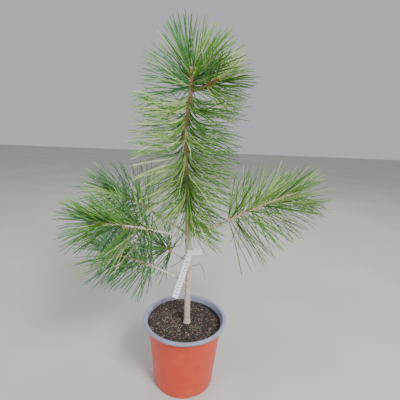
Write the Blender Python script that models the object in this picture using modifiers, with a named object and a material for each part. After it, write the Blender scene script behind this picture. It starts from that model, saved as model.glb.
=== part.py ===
"""A young ponderosa pine in a three litre nursery pot.

The pot stands on its flat underside at the world origin, +Z is up and -Y is the
front. The trunk, each bough, each mass of needles and the plastic label are
objects of their own. A mass grows bundles of three needles on its stem by one
seeded rule, and skips a bundle that would touch another piece.
"""

import math
import random

import bmesh
import bpy
import numpy as np
from mathutils import Matrix, Vector

GAP = 0.0003

# Pot
POT_HEIGHT = 0.162
POT_RIM_RADIUS = 0.095
POT_COLLAR_RADIUS = 0.0865
POT_NECK_RADIUS = 0.0838
POT_FOOT_RADIUS = 0.069
POT_WALL = 0.0016
POT_FLOOR = 0.0022
RIM_DEPTH = 0.0072
RIM_ROUND = 0.0016
COLLAR_HEIGHT = 0.0145
FOOT_ROUND = 0.0025
POT_SIDES = 40
DRAIN_COUNT = 8
DRAIN_WIDTH = 0.011
DRAIN_INNER = 0.058
DRAIN_HEIGHT = 0.0045

# Soil
SOIL_TOP = 0.1485
SOIL_DISH = 0.0025
SOIL_SIDES = 32

# Trunk: its middle as (x, y, z), and its radius at heights
TRUNK_ROUTE = (
    (0.0047, -0.0020, SOIL_TOP + GAP),
    (0.0041, -0.0006, 0.2230),
    (0.0054, 0.0004, 0.2925),
    (0.0008, 0.0000, 0.3490),
    (-0.0037, -0.0010, 0.4430),
    (-0.0091, 0.0000, 0.5330),
    (-0.0108, 0.0008, 0.5810),
    (-0.0057, 0.0006, 0.6310),
    (-0.0036, 0.0000, 0.6560),
    (-0.0029, 0.0000, 0.6800),
    (-0.0009, 0.0000, 0.7005),
)
TRUNK_RADII = (
    (SOIL_TOP, 0.0086),
    (SOIL_TOP + 0.004, 0.0078),
    (SOIL_TOP + 0.012, 0.0070),
    (0.2000, 0.0066),
    (0.2600, 0.0065),
    (0.3350, 0.0062),
    (0.3490, 0.0069),
    (0.3660, 0.0055),
    (0.4100, 0.0048),
    (0.4500, 0.0043),
    (0.5000, 0.0039),
    (0.5600, 0.0036),
    (0.6200, 0.0034),
    (0.6380, 0.0034),
    (0.6530, 0.0043),
    (0.6640, 0.0036),
    (0.6850, 0.0040),
    (0.6930, 0.0046),
    (0.6980, 0.0034),
    (0.7005, 0.0012),
)
TRUNK_SPAN_STEPS = 4
RING_SPACING = 0.002
LIMB_SIDES = 10
SLEEVE_WALL = 0.0013
SLEEVE_SIDES = 8

# Boughs: azimuth from +X towards +Y, the height where the bough leaves the trunk,
# its reach and rise to the tip bud, how far its middle bows up, its radius at the
# trunk and at the tip, and the share of its length that is bare
BOUGHS = {
    "right": dict(
        azimuth=12, height=0.3555, reach=0.2420, rise=0.0950, bow=0.0010,
        thick=0.0028, thin=0.0021, bare=0.36, sway=0.0020, seed=11,
    ),
    "left_front": dict(
        azimuth=208, height=0.3552, reach=0.1900, rise=0.0592, bow=0.0015,
        thick=0.0024, thin=0.0018, bare=0.44, sway=0.0015, seed=12,
    ),
    "left_back": dict(
        azimuth=150, height=0.3620, reach=0.2170, rise=0.0682, bow=0.0060,
        thick=0.0024, thin=0.0018, bare=0.42, sway=0.0020, seed=13,
    ),
    "left_low": dict(
        azimuth=178, height=0.2430, reach=0.1660, rise=0.0660, bow=0.0090,
        thick=0.0024, thin=0.0017, bare=0.50, sway=0.0015, seed=14,
    ),
    "short": dict(
        azimuth=150, height=0.2940, reach=0.0740, rise=0.0240, bow=0.0020,
        thick=0.0018, thin=0.0015, bare=0.62, sway=0.0008, seed=15,
    ),
    "top_right": dict(
        azimuth=-20, height=0.6550, reach=0.0560, rise=0.0230, bow=-0.0030,
        thick=0.0030, thin=0.0030, bare=0.50, sway=0.0005, seed=16,
    ),
}
BOUGH_STEPS = 12
BOUGH_COLLAR = 1.35
COLLAR_LENGTH = 0.014
BUD_LENGTH = 0.004
BUD_SWELL = 1.45
BUD_POINT = 0.45
STEM_SIDES = 6

# Dead twigs, as azimuth, height on the trunk and then (reach, height) along the twig
DEAD_TWIGS = {
    "dead_twig_right": (
        0, ((0.004, 0.2885), (0.0085, 0.2886), (0.0165, 0.2900), (0.0245, 0.2934),
            (0.0292, 0.2855), (0.0328, 0.2735), (0.0362, 0.2550)),
    ),
    "dead_twig_left": (
        176, ((0.004, 0.3140), (0.0090, 0.3120), (0.0150, 0.3050), (0.0195, 0.2975),
              (0.0310, 0.2885), (0.0425, 0.2810)),
    ),
}
DEAD_TWIG_THICK = 0.00104
DEAD_TWIG_THIN = 0.00063
DEAD_TWIG_SIDES = 6

# Needle bundles
NEEDLE_LENGTH = 0.130
SHEATH_SHARE = 0.25
SHEATH_ROOT = 0.0010
SHEATH_END = 0.0018
ROOT_SINK = 0.0013
ROOT_DEPTH = 0.0009
STEM_MARGIN = 0.0030
NEEDLE_SPREAD = math.radians(10)
GOLDEN_ANGLE = math.radians(137.5)
LEAN_JITTER = 9
CURL_JITTER = 5
LENGTH_JITTER = (0.90, 1.04)
NEEDLE_CLEARANCE = 0.0006
TRIES = 10

# Masses of needles. Angles are in degrees from the way the shoot grows: lean is a
# bundle's first angle at the mass's foot and tip, curl how far it then turns back
# towards the shoot, droop how much wider a bundle opens under the shoot and how
# much less above it. Length is a share of NEEDLE_LENGTH at foot and tip.
TRUNK_MASSES = {
    "needles_trunk_1": dict(
        low=0.384, high=0.446, count=28, lean=(150, 157), curl=(33, 30), length=(0.70, 0.95),
        droop=0, seed=21,
    ),
    "needles_trunk_2": dict(
        low=0.449, high=0.512, count=30, lean=(158, 150), curl=(30, 36), length=(0.96, 1.0),
        droop=0, seed=22,
    ),
    "needles_trunk_3": dict(
        low=0.515, high=0.578, count=30, lean=(150, 140), curl=(38, 40), length=(1.0, 1.0),
        droop=0, seed=23,
    ),
    "needles_trunk_4": dict(
        low=0.581, high=0.649, count=38, lean=(138, 112), curl=(38, 30), length=(1.0, 1.0),
        droop=0, seed=24,
    ),
    "needles_leader": dict(
        low=0.6612, high=0.6905, count=50, lean=(118, 12), curl=(12, 2), length=(0.92, 0.82),
        droop=0, seed=25,
    ),
}
BOUGH_MASSES = {
    "right": dict(
        count=54, lean=(80, 28), curl=(4, 2), length=(1.02, 0.82), droop=11, seed=31,
    ),
    "left_front": dict(
        count=42, lean=(82, 26), curl=(6, 2), length=(0.92, 0.62), droop=14, seed=32,
    ),
    "left_back": dict(
        count=42, lean=(82, 24), curl=(6, 2), length=(0.96, 0.80), droop=12, seed=33,
    ),
    "left_low": dict(
        count=38, lean=(84, 30), curl=(6, 2), length=(0.64, 0.84), droop=16, seed=34,
    ),
    "short": dict(
        count=16, lean=(80, 22), curl=(6, 2), length=(0.66, 0.74), droop=14, seed=35,
    ),
    "top_right": dict(
        count=20, lean=(74, 16), curl=(6, 2), length=(0.66, 0.58), droop=4, seed=36,
    ),
}

SHADED_MASSES = ("needles_left_low", "needles_short")

# Label: a plastic strap looped round the trunk, with a head and a hanging tail
LABEL_HEIGHT = 0.3225
LABEL_THICK = 0.0006
STRAP_WIDTH = 0.0126
LOOP_RADIUS = 0.0074
LOOP_TURN = 248
LOOP_STEPS = 16
LOOP_END = 0.0125
HEAD_LEFT = -0.0020
HEAD_RIGHT = 0.0285
HEAD_HEIGHT = 0.0128
HEAD_HOLE = 0.0215
HOLE_RADIUS = 0.0011
SLIT_HEIGHT = 0.0034
SLIT_LENGTH = 0.0095
SLIT_MIDDLE = -0.0052
CUT_DEPTH = 0.010
TAIL_TOP = (0.0068, -0.0076, 0.3250)
TAIL_BOTTOM = (-0.0238, -0.0225, 0.2225)
TAIL_TOP_WIDTH = 0.0100
TAIL_SHOULDER = 0.022
TAIL_CORNER = 0.0010
LABEL_ROOM = 0.003


def clear_scene():
    for thing in list(bpy.data.objects):
        bpy.data.objects.remove(thing, do_unlink=True)


def new_collection(name):
    collection = bpy.data.collections.new(name)
    bpy.context.scene.collection.children.link(collection)
    return collection


def material(name, colour, roughness):
    """A Principled BSDF material with one colour."""
    result = bpy.data.materials.new(name)
    result.use_nodes = True
    shader = result.node_tree.nodes["Principled BSDF"]
    shader.inputs["Base Color"].default_value = (*colour, 1.0)
    shader.inputs["Roughness"].default_value = roughness
    shader.inputs["Metallic"].default_value = 0.0
    return result


def add_object(name, data, collection):
    thing = bpy.data.objects.new(name, data)
    collection.objects.link(thing)
    return thing


def finish(thing, surface, smooth=True):
    """Give a piece its material and shading."""
    thing.data.materials.clear()
    thing.data.materials.append(surface)
    if smooth:
        thing.data.shade_smooth()
        thing.data.set_sharp_from_angle(angle=math.radians(40))
    return thing


def guide(thing):
    """Mark a cutter, which is no part of the plant."""
    thing.hide_render = True
    thing.display_type = "WIRE"
    return thing


class Limb:
    """A tapering limb: the points along its middle and the radius at each."""

    def __init__(self, points, radii):
        self.points = np.array(points, float)
        self.radii = np.array(radii, float)
        steps = np.linalg.norm(np.diff(self.points, axis=0), axis=1)
        self.along = np.concatenate([[0.0], np.cumsum(steps)])
        self.length = self.along[-1]

    def at(self, distance):
        """The point, direction and radius at a distance along the limb."""
        point = np.array([np.interp(distance, self.along, c) for c in self.points.T])
        index = int(np.searchsorted(self.along, distance, side="right")) - 1
        index = min(max(index, 0), len(self.points) - 2)
        step = self.points[index + 1] - self.points[index]
        return point, step / np.linalg.norm(step), np.interp(distance, self.along, self.radii)

    def stretch(self, start, end):
        """The part of the limb between two distances along it."""
        inner = [d for d in self.along if start + 1e-6 < d < end - 1e-6]
        ends = [self.at(d) for d in (start, *inner, end)]
        return Limb([p for p, _, _ in ends], [r for _, _, r in ends])

    def grown(self, extra):
        return Limb(self.points, self.radii + extra)


def smooth_route(keys, span_steps):
    """A Catmull-Rom curve through the keys."""
    keys = [np.array(key, float) for key in keys]
    padded = [2 * keys[0] - keys[1], *keys, 2 * keys[-1] - keys[-2]]
    points = []
    for a, b, c, d in zip(padded, padded[1:], padded[2:], padded[3:]):
        for step in range(span_steps):
            t = step / span_steps
            bend = (2 * a - 5 * b + 4 * c - d) * t**2 + (3 * b - a - 3 * c + d) * t**3
            points.append(0.5 * (2 * b + (c - a) * t + bend))
    points.append(keys[-1])
    return points


def trunk_limb():
    """The trunk with a ring at every height where its taper changes."""
    route = np.array(smooth_route(TRUNK_ROUTE, TRUNK_SPAN_STEPS))
    heights, radii = np.array(TRUNK_RADII).T
    levels = np.unique(np.round(np.concatenate([route[:, 2], heights[1:-1]]), 4))
    keep = [levels[0]]
    for level in levels[1:]:
        if level - keep[-1] > RING_SPACING:
            keep.append(level)
    points = [[np.interp(z, route[:, 2], route[:, axis]) for axis in (0, 1)] + [z] for z in keep]
    return Limb(points, np.interp(keep, heights, radii))


def bough_limb(trunk, azimuth, height, reach, rise, bow, thick, thin, sway, seed, **_):
    """A bough from the trunk's middle out to its tip bud."""
    rng = random.Random(seed)
    root, _, _ = trunk.at(np.interp(height, trunk.points[:, 2], trunk.along))
    angle = math.radians(azimuth)
    outward = np.array([math.cos(angle), math.sin(angle), 0.0])
    sideways = np.array([-math.sin(angle), math.cos(angle), 0.0])
    phase = rng.uniform(0, math.tau)
    points, radii = [], []
    for step in range(BOUGH_STEPS + 1):
        t = step / BOUGH_STEPS
        side = sway * math.sin(phase + 5.2 * t) * t
        lift = rise * t + bow * 4 * t * (1 - t) + 0.5 * sway * math.sin(phase + 8.5 * t) * t
        points.append(root + outward * reach * t + sideways * side + np.array([0, 0, lift]))
        collar = BOUGH_COLLAR ** (1 - min(t * reach / COLLAR_LENGTH, 1.0))
        radii.append((thick + (thin - thick) * t) * collar)
    direction = points[-1] - points[-2]
    direction /= np.linalg.norm(direction)
    points.insert(-1, points[-1] - direction * BUD_LENGTH)
    radii.insert(-1, thin * BUD_SWELL)
    radii[-1] = thin * BUD_POINT
    return Limb(points, radii)


def dead_twig_limb(trunk, azimuth, keys):
    """A thin dead twig in an upright plane through the trunk."""
    angle = math.radians(azimuth)
    root, _, _ = trunk.at(np.interp(keys[0][1], trunk.points[:, 2], trunk.along))
    route = [
        (root[0] + reach * math.cos(angle), root[1] + reach * math.sin(angle), height)
        for reach, height in ((0.0, keys[0][1]), *keys[1:])
    ]
    points = smooth_route(route, 2)
    return Limb(points, np.linspace(DEAD_TWIG_THICK, DEAD_TWIG_THIN, len(points)))


def tube(name, limb, collection, sides=LIMB_SIDES):
    """A limb as a closed mesh, from a curve with a round bevel and filled caps."""
    curve = bpy.data.curves.new(name, "CURVE")
    curve.dimensions = "3D"
    curve.bevel_depth = 1.0
    curve.bevel_resolution = (sides - 4) // 2
    curve.use_fill_caps = True
    spline = curve.splines.new("POLY")
    spline.points.add(len(limb.points) - 1)
    for knot, point, radius in zip(spline.points, limb.points, limb.radii):
        knot.co = (*point, 1.0)
        knot.radius = radius
    return made_mesh(add_object(name, curve, collection), collection)


def made_mesh(source, collection):
    """Replace a curve, or an object with modifiers, by the plain mesh that it gives."""
    bpy.context.view_layer.update()
    evaluated = source.evaluated_get(bpy.context.evaluated_depsgraph_get())
    mesh = bpy.data.meshes.new_from_object(evaluated)
    name = source.name
    place = source.matrix_world.copy()
    bpy.data.objects.remove(source, do_unlink=True)
    shape = bmesh.new()
    shape.from_mesh(mesh)
    bmesh.ops.remove_doubles(shape, verts=shape.verts, dist=1e-6)
    shape.to_mesh(mesh)
    shape.free()
    thing = add_object(name, mesh, collection)
    thing.matrix_world = place
    return thing


def boolean(thing, operation, other, solver="EXACT"):
    """Join or cut with an object, or with every object of a collection."""
    change = thing.modifiers.new(operation.title(), "BOOLEAN")
    change.operation = operation
    change.solver = solver
    if isinstance(other, bpy.types.Collection):
        change.operand_type = "COLLECTION"
        change.collection = other
    else:
        change.object = other
    return change


def segment_gaps(starts, ends, start, end):
    """Least distance from one segment to each of many, and where along both it lies."""
    u = ends - starts
    v = end - start
    w = starts - start
    a = np.einsum("ij,ij->i", u, u)
    b = u @ v
    c = v @ v
    d = np.einsum("ij,ij->i", u, w)
    e = w @ v
    det = a * c - b * b
    s = np.where(det > 1e-14, np.clip((b * e - c * d) / np.maximum(det, 1e-14), 0, 1), 0.0)
    t = np.clip((b * s + e) / c, 0, 1)
    s = np.clip((b * t - d) / np.maximum(a, 1e-14), 0, 1)
    apart = (starts + u * s[:, None]) - (start + np.outer(t, v))
    return np.linalg.norm(apart, axis=1), s, t


class Space:
    """What is taken already: thick segments, each with its owner's name."""

    def __init__(self):
        self.starts = np.zeros((0, 3))
        self.ends = np.zeros((0, 3))
        self.thick = np.zeros((0, 2))
        self.owners = np.array([], dtype=object)
        self.stems = np.array([], dtype=bool)

    def add(self, segments, owner, stem=False):
        for start, end, first, last in segments:
            self.starts = np.vstack([self.starts, start])
            self.ends = np.vstack([self.ends, end])
            self.thick = np.vstack([self.thick, (first, last)])
            self.owners = np.append(self.owners, owner)
            self.stems = np.append(self.stems, stem)

    def free(self, segment, test):
        """Whether a segment keeps clear of the chosen ones."""
        start, end, first, last = segment
        if not test.any():
            return True
        gap, s, t = segment_gaps(self.starts[test], self.ends[test], start, end)
        thick = self.thick[test]
        there = thick[:, 0] * (1 - s) + thick[:, 1] * s
        here = first * (1 - t) + last * t
        return not (gap < there + here + NEEDLE_CLEARANCE).any()

    def fits(self, bundle, owner, limb):
        """Whether a bundle touches nothing but its own mass's stem and sheaths.

        Its sheath may also touch the limb that it grows on.
        """
        own = self.owners == owner
        sheath, *needles = bundle.segments()
        if not self.free(sheath, ~(own | (self.owners == limb))):
            return False
        return all(self.free(needle, ~(own & self.stems)) for needle in needles)


def limb_segments(limb):
    return [
        (a, b, ra, rb)
        for a, b, ra, rb in zip(limb.points, limb.points[1:], limb.radii, limb.radii[1:])
    ]


def unit(vector):
    return vector / np.linalg.norm(vector)


def turned_towards(direction, goal, angle):
    """The direction turned by an angle towards the goal."""
    side = goal - direction * (goal @ direction)
    return direction * math.cos(angle) + unit(side) * math.sin(angle)


class Bundle:
    """Three needles that share a sheath: the sheath's line and the needles' tips."""

    def __init__(self, root, first, last, length, roll):
        self.foot = root - first * ROOT_DEPTH
        self.fork = root + first * length * SHEATH_SHARE
        across = unit(np.cross(last, (0.31, 0.87, 0.38)))
        over = np.cross(last, across)
        self.ring, self.tips = [], []
        for needle in range(3):
            corner = roll + needle * math.tau / 3
            side = across * math.cos(corner) + over * math.sin(corner)
            self.ring.append(side)
            middle = corner + math.pi / 3
            lean = across * math.cos(middle) + over * math.sin(middle)
            way = unit(last + lean * math.tan(NEEDLE_SPREAD))
            reach = length * (1 - SHEATH_SHARE) * (1.0 - 0.05 * needle)
            self.tips.append(self.fork + way * reach)

    def segments(self):
        sheath = (self.foot, self.fork, SHEATH_ROOT, SHEATH_END)
        return [sheath] + [(self.fork, tip, SHEATH_END, 0.0) for tip in self.tips]

    def mesh(self, name):
        """A three-sided sheath that forks into three pyramids."""
        shape = bmesh.new()
        foot = [shape.verts.new(self.foot + side * SHEATH_ROOT) for side in self.ring]
        fork = [shape.verts.new(self.fork + side * SHEATH_END) for side in self.ring]
        middle = shape.verts.new(self.fork)
        shape.faces.new(foot[::-1])
        for i in range(3):
            j = (i + 1) % 3
            tip = shape.verts.new(self.tips[i])
            shape.faces.new((foot[i], foot[j], fork[j], fork[i]))
            shape.faces.new((fork[i], fork[j], tip))
            shape.faces.new((fork[j], middle, tip))
            shape.faces.new((middle, fork[i], tip))
        bmesh.ops.triangulate(shape, faces=shape.faces)
        mesh = bpy.data.meshes.new(name)
        shape.to_mesh(mesh)
        shape.free()
        return mesh


def grow_bundles(name, stem, limb, space, count, lean, curl, length, droop, seed, **_):
    """Bundles spaced round the stem by the golden angle, those that fit."""
    rng = random.Random(seed)
    margin = STEM_MARGIN / stem.length
    grown = []
    for k in range(count):
        for _attempt in range(TRIES):
            place = (k + 0.5 + rng.uniform(-0.4, 0.4)) / count
            place = min(max(place, margin), 1 - margin)
            point, along, radius = stem.at(place * stem.length)
            turn = k * GOLDEN_ANGLE + rng.uniform(-0.5, 0.5)
            across = unit(np.cross(along, (0.12, 0.97, 0.21)))
            over = np.cross(along, across)
            outward = across * math.cos(turn) + over * math.sin(turn)
            opened = np.interp(place, (0, 1), lean) - droop * outward[2]
            opened = math.radians(opened + rng.uniform(-LEAN_JITTER, LEAN_JITTER))
            first = along * math.cos(opened) + outward * math.sin(opened)
            bend = np.interp(place, (0, 1), curl) + rng.uniform(-CURL_JITTER, CURL_JITTER)
            last = turned_towards(first, along, math.radians(bend))
            size = NEEDLE_LENGTH * np.interp(place, (0, 1), length) * rng.uniform(*LENGTH_JITTER)
            root = point + outward * (radius - ROOT_SINK)
            bundle = Bundle(root, first, last, size, rng.uniform(0, math.tau))
            if space.fits(bundle, name, limb):
                sheath, *needles = bundle.segments()
                space.add([sheath], name, stem=True)
                space.add(needles, name)
                grown.append(bundle)
                break
    return grown


def joined_mass(core, bundles, parts, surface):
    """Fuse the bundles into their core with one union, and apply it."""
    sprays = new_collection(core.name + "_sprays")
    for index, bundle in enumerate(bundles):
        label = f"{core.name}_spray_{index}"
        add_object(label, bundle.mesh(label), sprays)
    boolean(core, "UNION", sprays, solver="MANIFOLD")
    mass = made_mesh(core, parts)
    for spray in list(sprays.objects):
        bpy.data.objects.remove(spray, do_unlink=True)
    bpy.data.collections.remove(sprays)
    return finish(mass, surface, smooth=False)


def turned(name, profile, sides, collection):
    """A solid of revolution from a profile of (radius, height) points."""
    shape = bmesh.new()
    corners = [shape.verts.new((radius, 0, height)) for radius, height in profile]
    for a, b in zip(corners, corners[1:]):
        shape.edges.new((a, b))
    mesh = bpy.data.meshes.new(name)
    shape.to_mesh(mesh)
    shape.free()
    thing = add_object(name, mesh, collection)
    screw = thing.modifiers.new("Turn", "SCREW")
    screw.steps = sides
    screw.render_steps = sides
    screw.use_merge_vertices = True
    screw.merge_threshold = 1e-5
    return thing


def wall_radius(height):
    """The pot's outer radius below its collar."""
    share = height / (POT_HEIGHT - COLLAR_HEIGHT)
    return POT_FOOT_RADIUS + (POT_NECK_RADIUS - POT_FOOT_RADIUS) * share


def make_pot(parts, cutters):
    """The pot: tapered wall, stepped collar, rolled rim, and drain notches at the foot."""
    step = POT_HEIGHT - COLLAR_HEIGHT
    rim_foot = POT_HEIGHT - RIM_DEPTH
    inner_collar = POT_COLLAR_RADIUS - POT_WALL
    profile = (
        (0.0, POT_FLOOR),
        (wall_radius(POT_FLOOR) - POT_WALL, POT_FLOOR),
        (POT_NECK_RADIUS - POT_WALL, step + 0.0008),
        (inner_collar, step + 0.0022),
        (inner_collar + 0.0006, POT_HEIGHT - 0.0022),
        (inner_collar + 0.0034, POT_HEIGHT),
        (POT_RIM_RADIUS - RIM_ROUND, POT_HEIGHT),
        (POT_RIM_RADIUS, POT_HEIGHT - RIM_ROUND),
        (POT_RIM_RADIUS - 0.0004, rim_foot + RIM_ROUND),
        (POT_RIM_RADIUS - 0.0022, rim_foot),
        (POT_COLLAR_RADIUS, rim_foot),
        (POT_COLLAR_RADIUS - 0.0003, step),
        (POT_NECK_RADIUS, step - 0.0014),
        (wall_radius(2 * DRAIN_HEIGHT), 2 * DRAIN_HEIGHT),
        (wall_radius(FOOT_ROUND), FOOT_ROUND),
        (POT_FOOT_RADIUS - 0.6 * FOOT_ROUND, 0.0),
        (0.0, 0.0),
    )
    pot = turned("pot", profile, POT_SIDES, parts)
    pot = made_mesh(pot, parts)
    for index in range(DRAIN_COUNT):
        bpy.ops.mesh.primitive_cube_add(size=1.0)
        cutter = bpy.context.object
        cutter.name = f"drain_cutter_{index}"
        depth = POT_RIM_RADIUS - DRAIN_INNER
        cutter.scale = (depth, DRAIN_WIDTH, 2 * DRAIN_HEIGHT)
        angle = math.tau * (index + 0.4) / DRAIN_COUNT
        middle = DRAIN_INNER + depth / 2
        cutter.location = (middle * math.cos(angle), middle * math.sin(angle), 0.0)
        cutter.rotation_euler = (0, 0, angle)
        for collection in list(cutter.users_collection):
            collection.objects.unlink(cutter)
        cutters.objects.link(guide(cutter))
        boolean(pot, "DIFFERENCE", cutter)
    plastic = material("pot_plastic", (0.73, 0.125, 0.062), 0.42)
    return finish(pot, plastic)


def make_soil(parts):
    """The soil that fills the pot to its collar, a little lower towards the wall."""
    low = POT_FLOOR + GAP
    inset = POT_WALL + 2 * GAP
    top_radius = wall_radius(SOIL_TOP - SOIL_DISH) - inset
    profile = (
        (0.0, SOIL_TOP),
        (0.35 * top_radius, SOIL_TOP),
        (0.80 * top_radius, SOIL_TOP - 0.4 * SOIL_DISH),
        (top_radius, SOIL_TOP - SOIL_DISH),
        (wall_radius(low) - inset, low),
        (0.0, low),
    )
    soil = turned("soil", profile, SOIL_SIDES, parts)
    return finish(made_mesh(soil, parts), material("potting_soil", (0.030, 0.018, 0.014), 0.95))


def make_label(trunk, parts, cutters):
    """The label: a strap loop round the trunk, its head, and its tail hanging in front."""
    middle, along, _ = trunk.at(np.interp(LABEL_HEIGHT, trunk.points[:, 2], trunk.along))
    right = unit(np.cross((0, 1, 0), along))
    back = np.cross(along, right)
    place = Matrix((
        (right[0], back[0], along[0], middle[0]),
        (right[1], back[1], along[1], middle[1]),
        (right[2], back[2], along[2], middle[2]),
        (0, 0, 0, 1),
    ))
    plate_y = -LOOP_RADIUS - LABEL_THICK / 2
    route = []
    for step in range(LOOP_STEPS + 1):
        angle = math.radians(-90 - step * LOOP_TURN / LOOP_STEPS)
        route.append((LOOP_RADIUS * math.cos(angle), LOOP_RADIUS * math.sin(angle)))
    route[0] = (route[0][0], plate_y)
    route.append((LOOP_END, plate_y))
    ribbon = bpy.data.curves.new("loop", "CURVE")
    ribbon.dimensions = "3D"
    ribbon.extrude = STRAP_WIDTH / 2
    spline = ribbon.splines.new("POLY")
    spline.points.add(len(route) - 1)
    for knot, (x, y) in zip(spline.points, route):
        knot.co = (x, y, 0.0, 1.0)
    loop = made_mesh(add_object("loop", ribbon, cutters), cutters)
    wall = loop.modifiers.new("Wall", "SOLIDIFY")
    wall.thickness = LABEL_THICK
    wall.offset = 0.0
    loop = made_mesh(loop, cutters)

    bpy.ops.mesh.primitive_cube_add(size=1.0)
    head = bpy.context.object
    head.name = "plant_label"
    head.scale = (HEAD_RIGHT - HEAD_LEFT, LABEL_THICK, HEAD_HEIGHT)
    head.location = ((HEAD_LEFT + HEAD_RIGHT) / 2, plate_y, 0.0)
    bpy.ops.object.transform_apply(location=True, rotation=False, scale=True)
    for collection in list(head.users_collection):
        collection.objects.unlink(head)
    parts.objects.link(head)

    bpy.ops.mesh.primitive_cylinder_add(
        vertices=12, radius=HOLE_RADIUS, depth=CUT_DEPTH,
        location=(HEAD_HOLE, plate_y, 0.0), rotation=(math.pi / 2, 0, 0),
    )
    hole = bpy.context.object
    bpy.ops.mesh.primitive_cube_add(size=1.0)
    slit = bpy.context.object
    slit.scale = (SLIT_LENGTH, CUT_DEPTH, SLIT_HEIGHT)
    slit.location = (SLIT_MIDDLE, plate_y, 0.0)

    boolean(head, "UNION", loop)
    boolean(head, "DIFFERENCE", hole)
    boolean(head, "DIFFERENCE", slit)
    head = made_mesh(head, parts)
    for tool in (loop, hole, slit):
        bpy.data.objects.remove(tool, do_unlink=True)
    head.data.transform(place)

    tail = make_tail(cutters)
    boolean(head, "UNION", tail)
    head = made_mesh(head, parts)
    bpy.data.objects.remove(tail, do_unlink=True)
    return finish(head, material("label_plastic", (0.86, 0.86, 0.84), 0.4))


def make_tail(collection):
    """The label's hanging tail, a flat outline with rounded lower corners."""
    top, bottom = Vector(TAIL_TOP), Vector(TAIL_BOTTOM)
    length = (bottom - top).length
    half_top, half = TAIL_TOP_WIDTH / 2, STRAP_WIDTH / 2
    outline = (
        (-half_top, 0.0),
        (half_top, 0.0),
        (half, -TAIL_SHOULDER),
        (half, -length + TAIL_CORNER),
        (half - TAIL_CORNER, -length),
        (-half + TAIL_CORNER, -length),
        (-half, -length + TAIL_CORNER),
        (-half, -TAIL_SHOULDER),
    )
    curve = bpy.data.curves.new("tail", "CURVE")
    curve.dimensions = "2D"
    curve.fill_mode = "BOTH"
    curve.extrude = LABEL_THICK / 2
    spline = curve.splines.new("POLY")
    spline.points.add(len(outline) - 1)
    for knot, (x, y) in zip(spline.points, outline):
        knot.co = (x, y, 0.0, 1.0)
    spline.use_cyclic_u = True
    tail = add_object("tail", curve, collection)
    up = (top - bottom).normalized()
    front = (Vector((0, -1, 0)) - up * Vector((0, -1, 0)).dot(up)).normalized()
    side = up.cross(front)
    axes = Matrix((side, up, front)).transposed().to_4x4()
    tail.matrix_world = Matrix.Translation(top) @ axes
    return made_mesh(tail, collection)


def label_segments():
    """The label as thick lines that needles keep clear of."""
    top, bottom = np.array(TAIL_TOP), np.array(TAIL_BOTTOM)
    head_left = np.array([HEAD_LEFT - LABEL_ROOM, -LOOP_RADIUS, LABEL_HEIGHT])
    head_right = np.array([HEAD_RIGHT + LABEL_ROOM, -LOOP_RADIUS, LABEL_HEIGHT])
    half = STRAP_WIDTH / 2
    return [(top, bottom, half, half), (head_left, head_right, half, half)]


def main():
    clear_scene()
    parts = new_collection("potted_ponderosa_pine")
    cutters = new_collection("cutters")

    bark = material("grey_bark", (0.36, 0.28, 0.21), 0.85)
    twig_bark = material("twig_bark", (0.42, 0.24, 0.12), 0.8)
    dead_wood = material("dead_wood", (0.42, 0.34, 0.27), 0.9)
    needle_green = material("needle_green", (0.10, 0.27, 0.06), 0.5)
    needle_dark = material("needle_dark_green", (0.07, 0.20, 0.08), 0.5)

    make_pot(parts, cutters)
    make_soil(parts)

    trunk = trunk_limb()
    finish(tube("trunk", trunk, parts), bark)
    clearance = guide(tube("trunk_clearance", trunk.grown(GAP), cutters))
    make_label(trunk, parts, cutters)

    space = Space()
    space.add(limb_segments(trunk.grown(GAP + SLEEVE_WALL)), "trunk")
    space.add(label_segments(), "plant_label")

    masses = {}
    for name, sizes in TRUNK_MASSES.items():
        low, high = np.interp((sizes["low"], sizes["high"]), trunk.points[:, 2], trunk.along)
        stem = trunk.stretch(low, high).grown(GAP + SLEEVE_WALL)
        masses[name] = (stem, "trunk", sizes)
    limbs = {name: bough_limb(trunk, **sizes) for name, sizes in BOUGHS.items()}
    for name, limb in limbs.items():
        bare = BOUGHS[name]["bare"] * limb.length
        bare_part = limb.stretch(0.0, bare - GAP / 2)
        bough = tube("bough_" + name, bare_part, parts)
        boolean(bough, "DIFFERENCE", clearance)
        finish(bough, twig_bark)
        stem = limb.stretch(bare + GAP / 2, limb.length)
        space.add(limb_segments(bare_part), "bough_" + name)
        space.add(limb_segments(stem), "needles_" + name, stem=True)
        masses["needles_" + name] = (stem, "bough_" + name, BOUGH_MASSES[name])

    for name, (azimuth, keys) in DEAD_TWIGS.items():
        limb = dead_twig_limb(trunk, azimuth, keys)
        twig = tube(name, limb, parts, sides=DEAD_TWIG_SIDES)
        boolean(twig, "DIFFERENCE", clearance)
        finish(twig, dead_wood)
        space.add(limb_segments(limb), name)

    for name, (stem, limb, sizes) in masses.items():
        bundles = grow_bundles(name, stem, limb, space, **sizes)
        sides = SLEEVE_SIDES if limb == "trunk" else STEM_SIDES
        core = tube(name, stem, parts, sides=sides)
        surface = needle_dark if name in SHADED_MASSES else needle_green
        mass = joined_mass(core, bundles, parts, surface)
        if limb == "trunk":
            boolean(mass, "DIFFERENCE", clearance, solver="MANIFOLD")


main()
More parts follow.
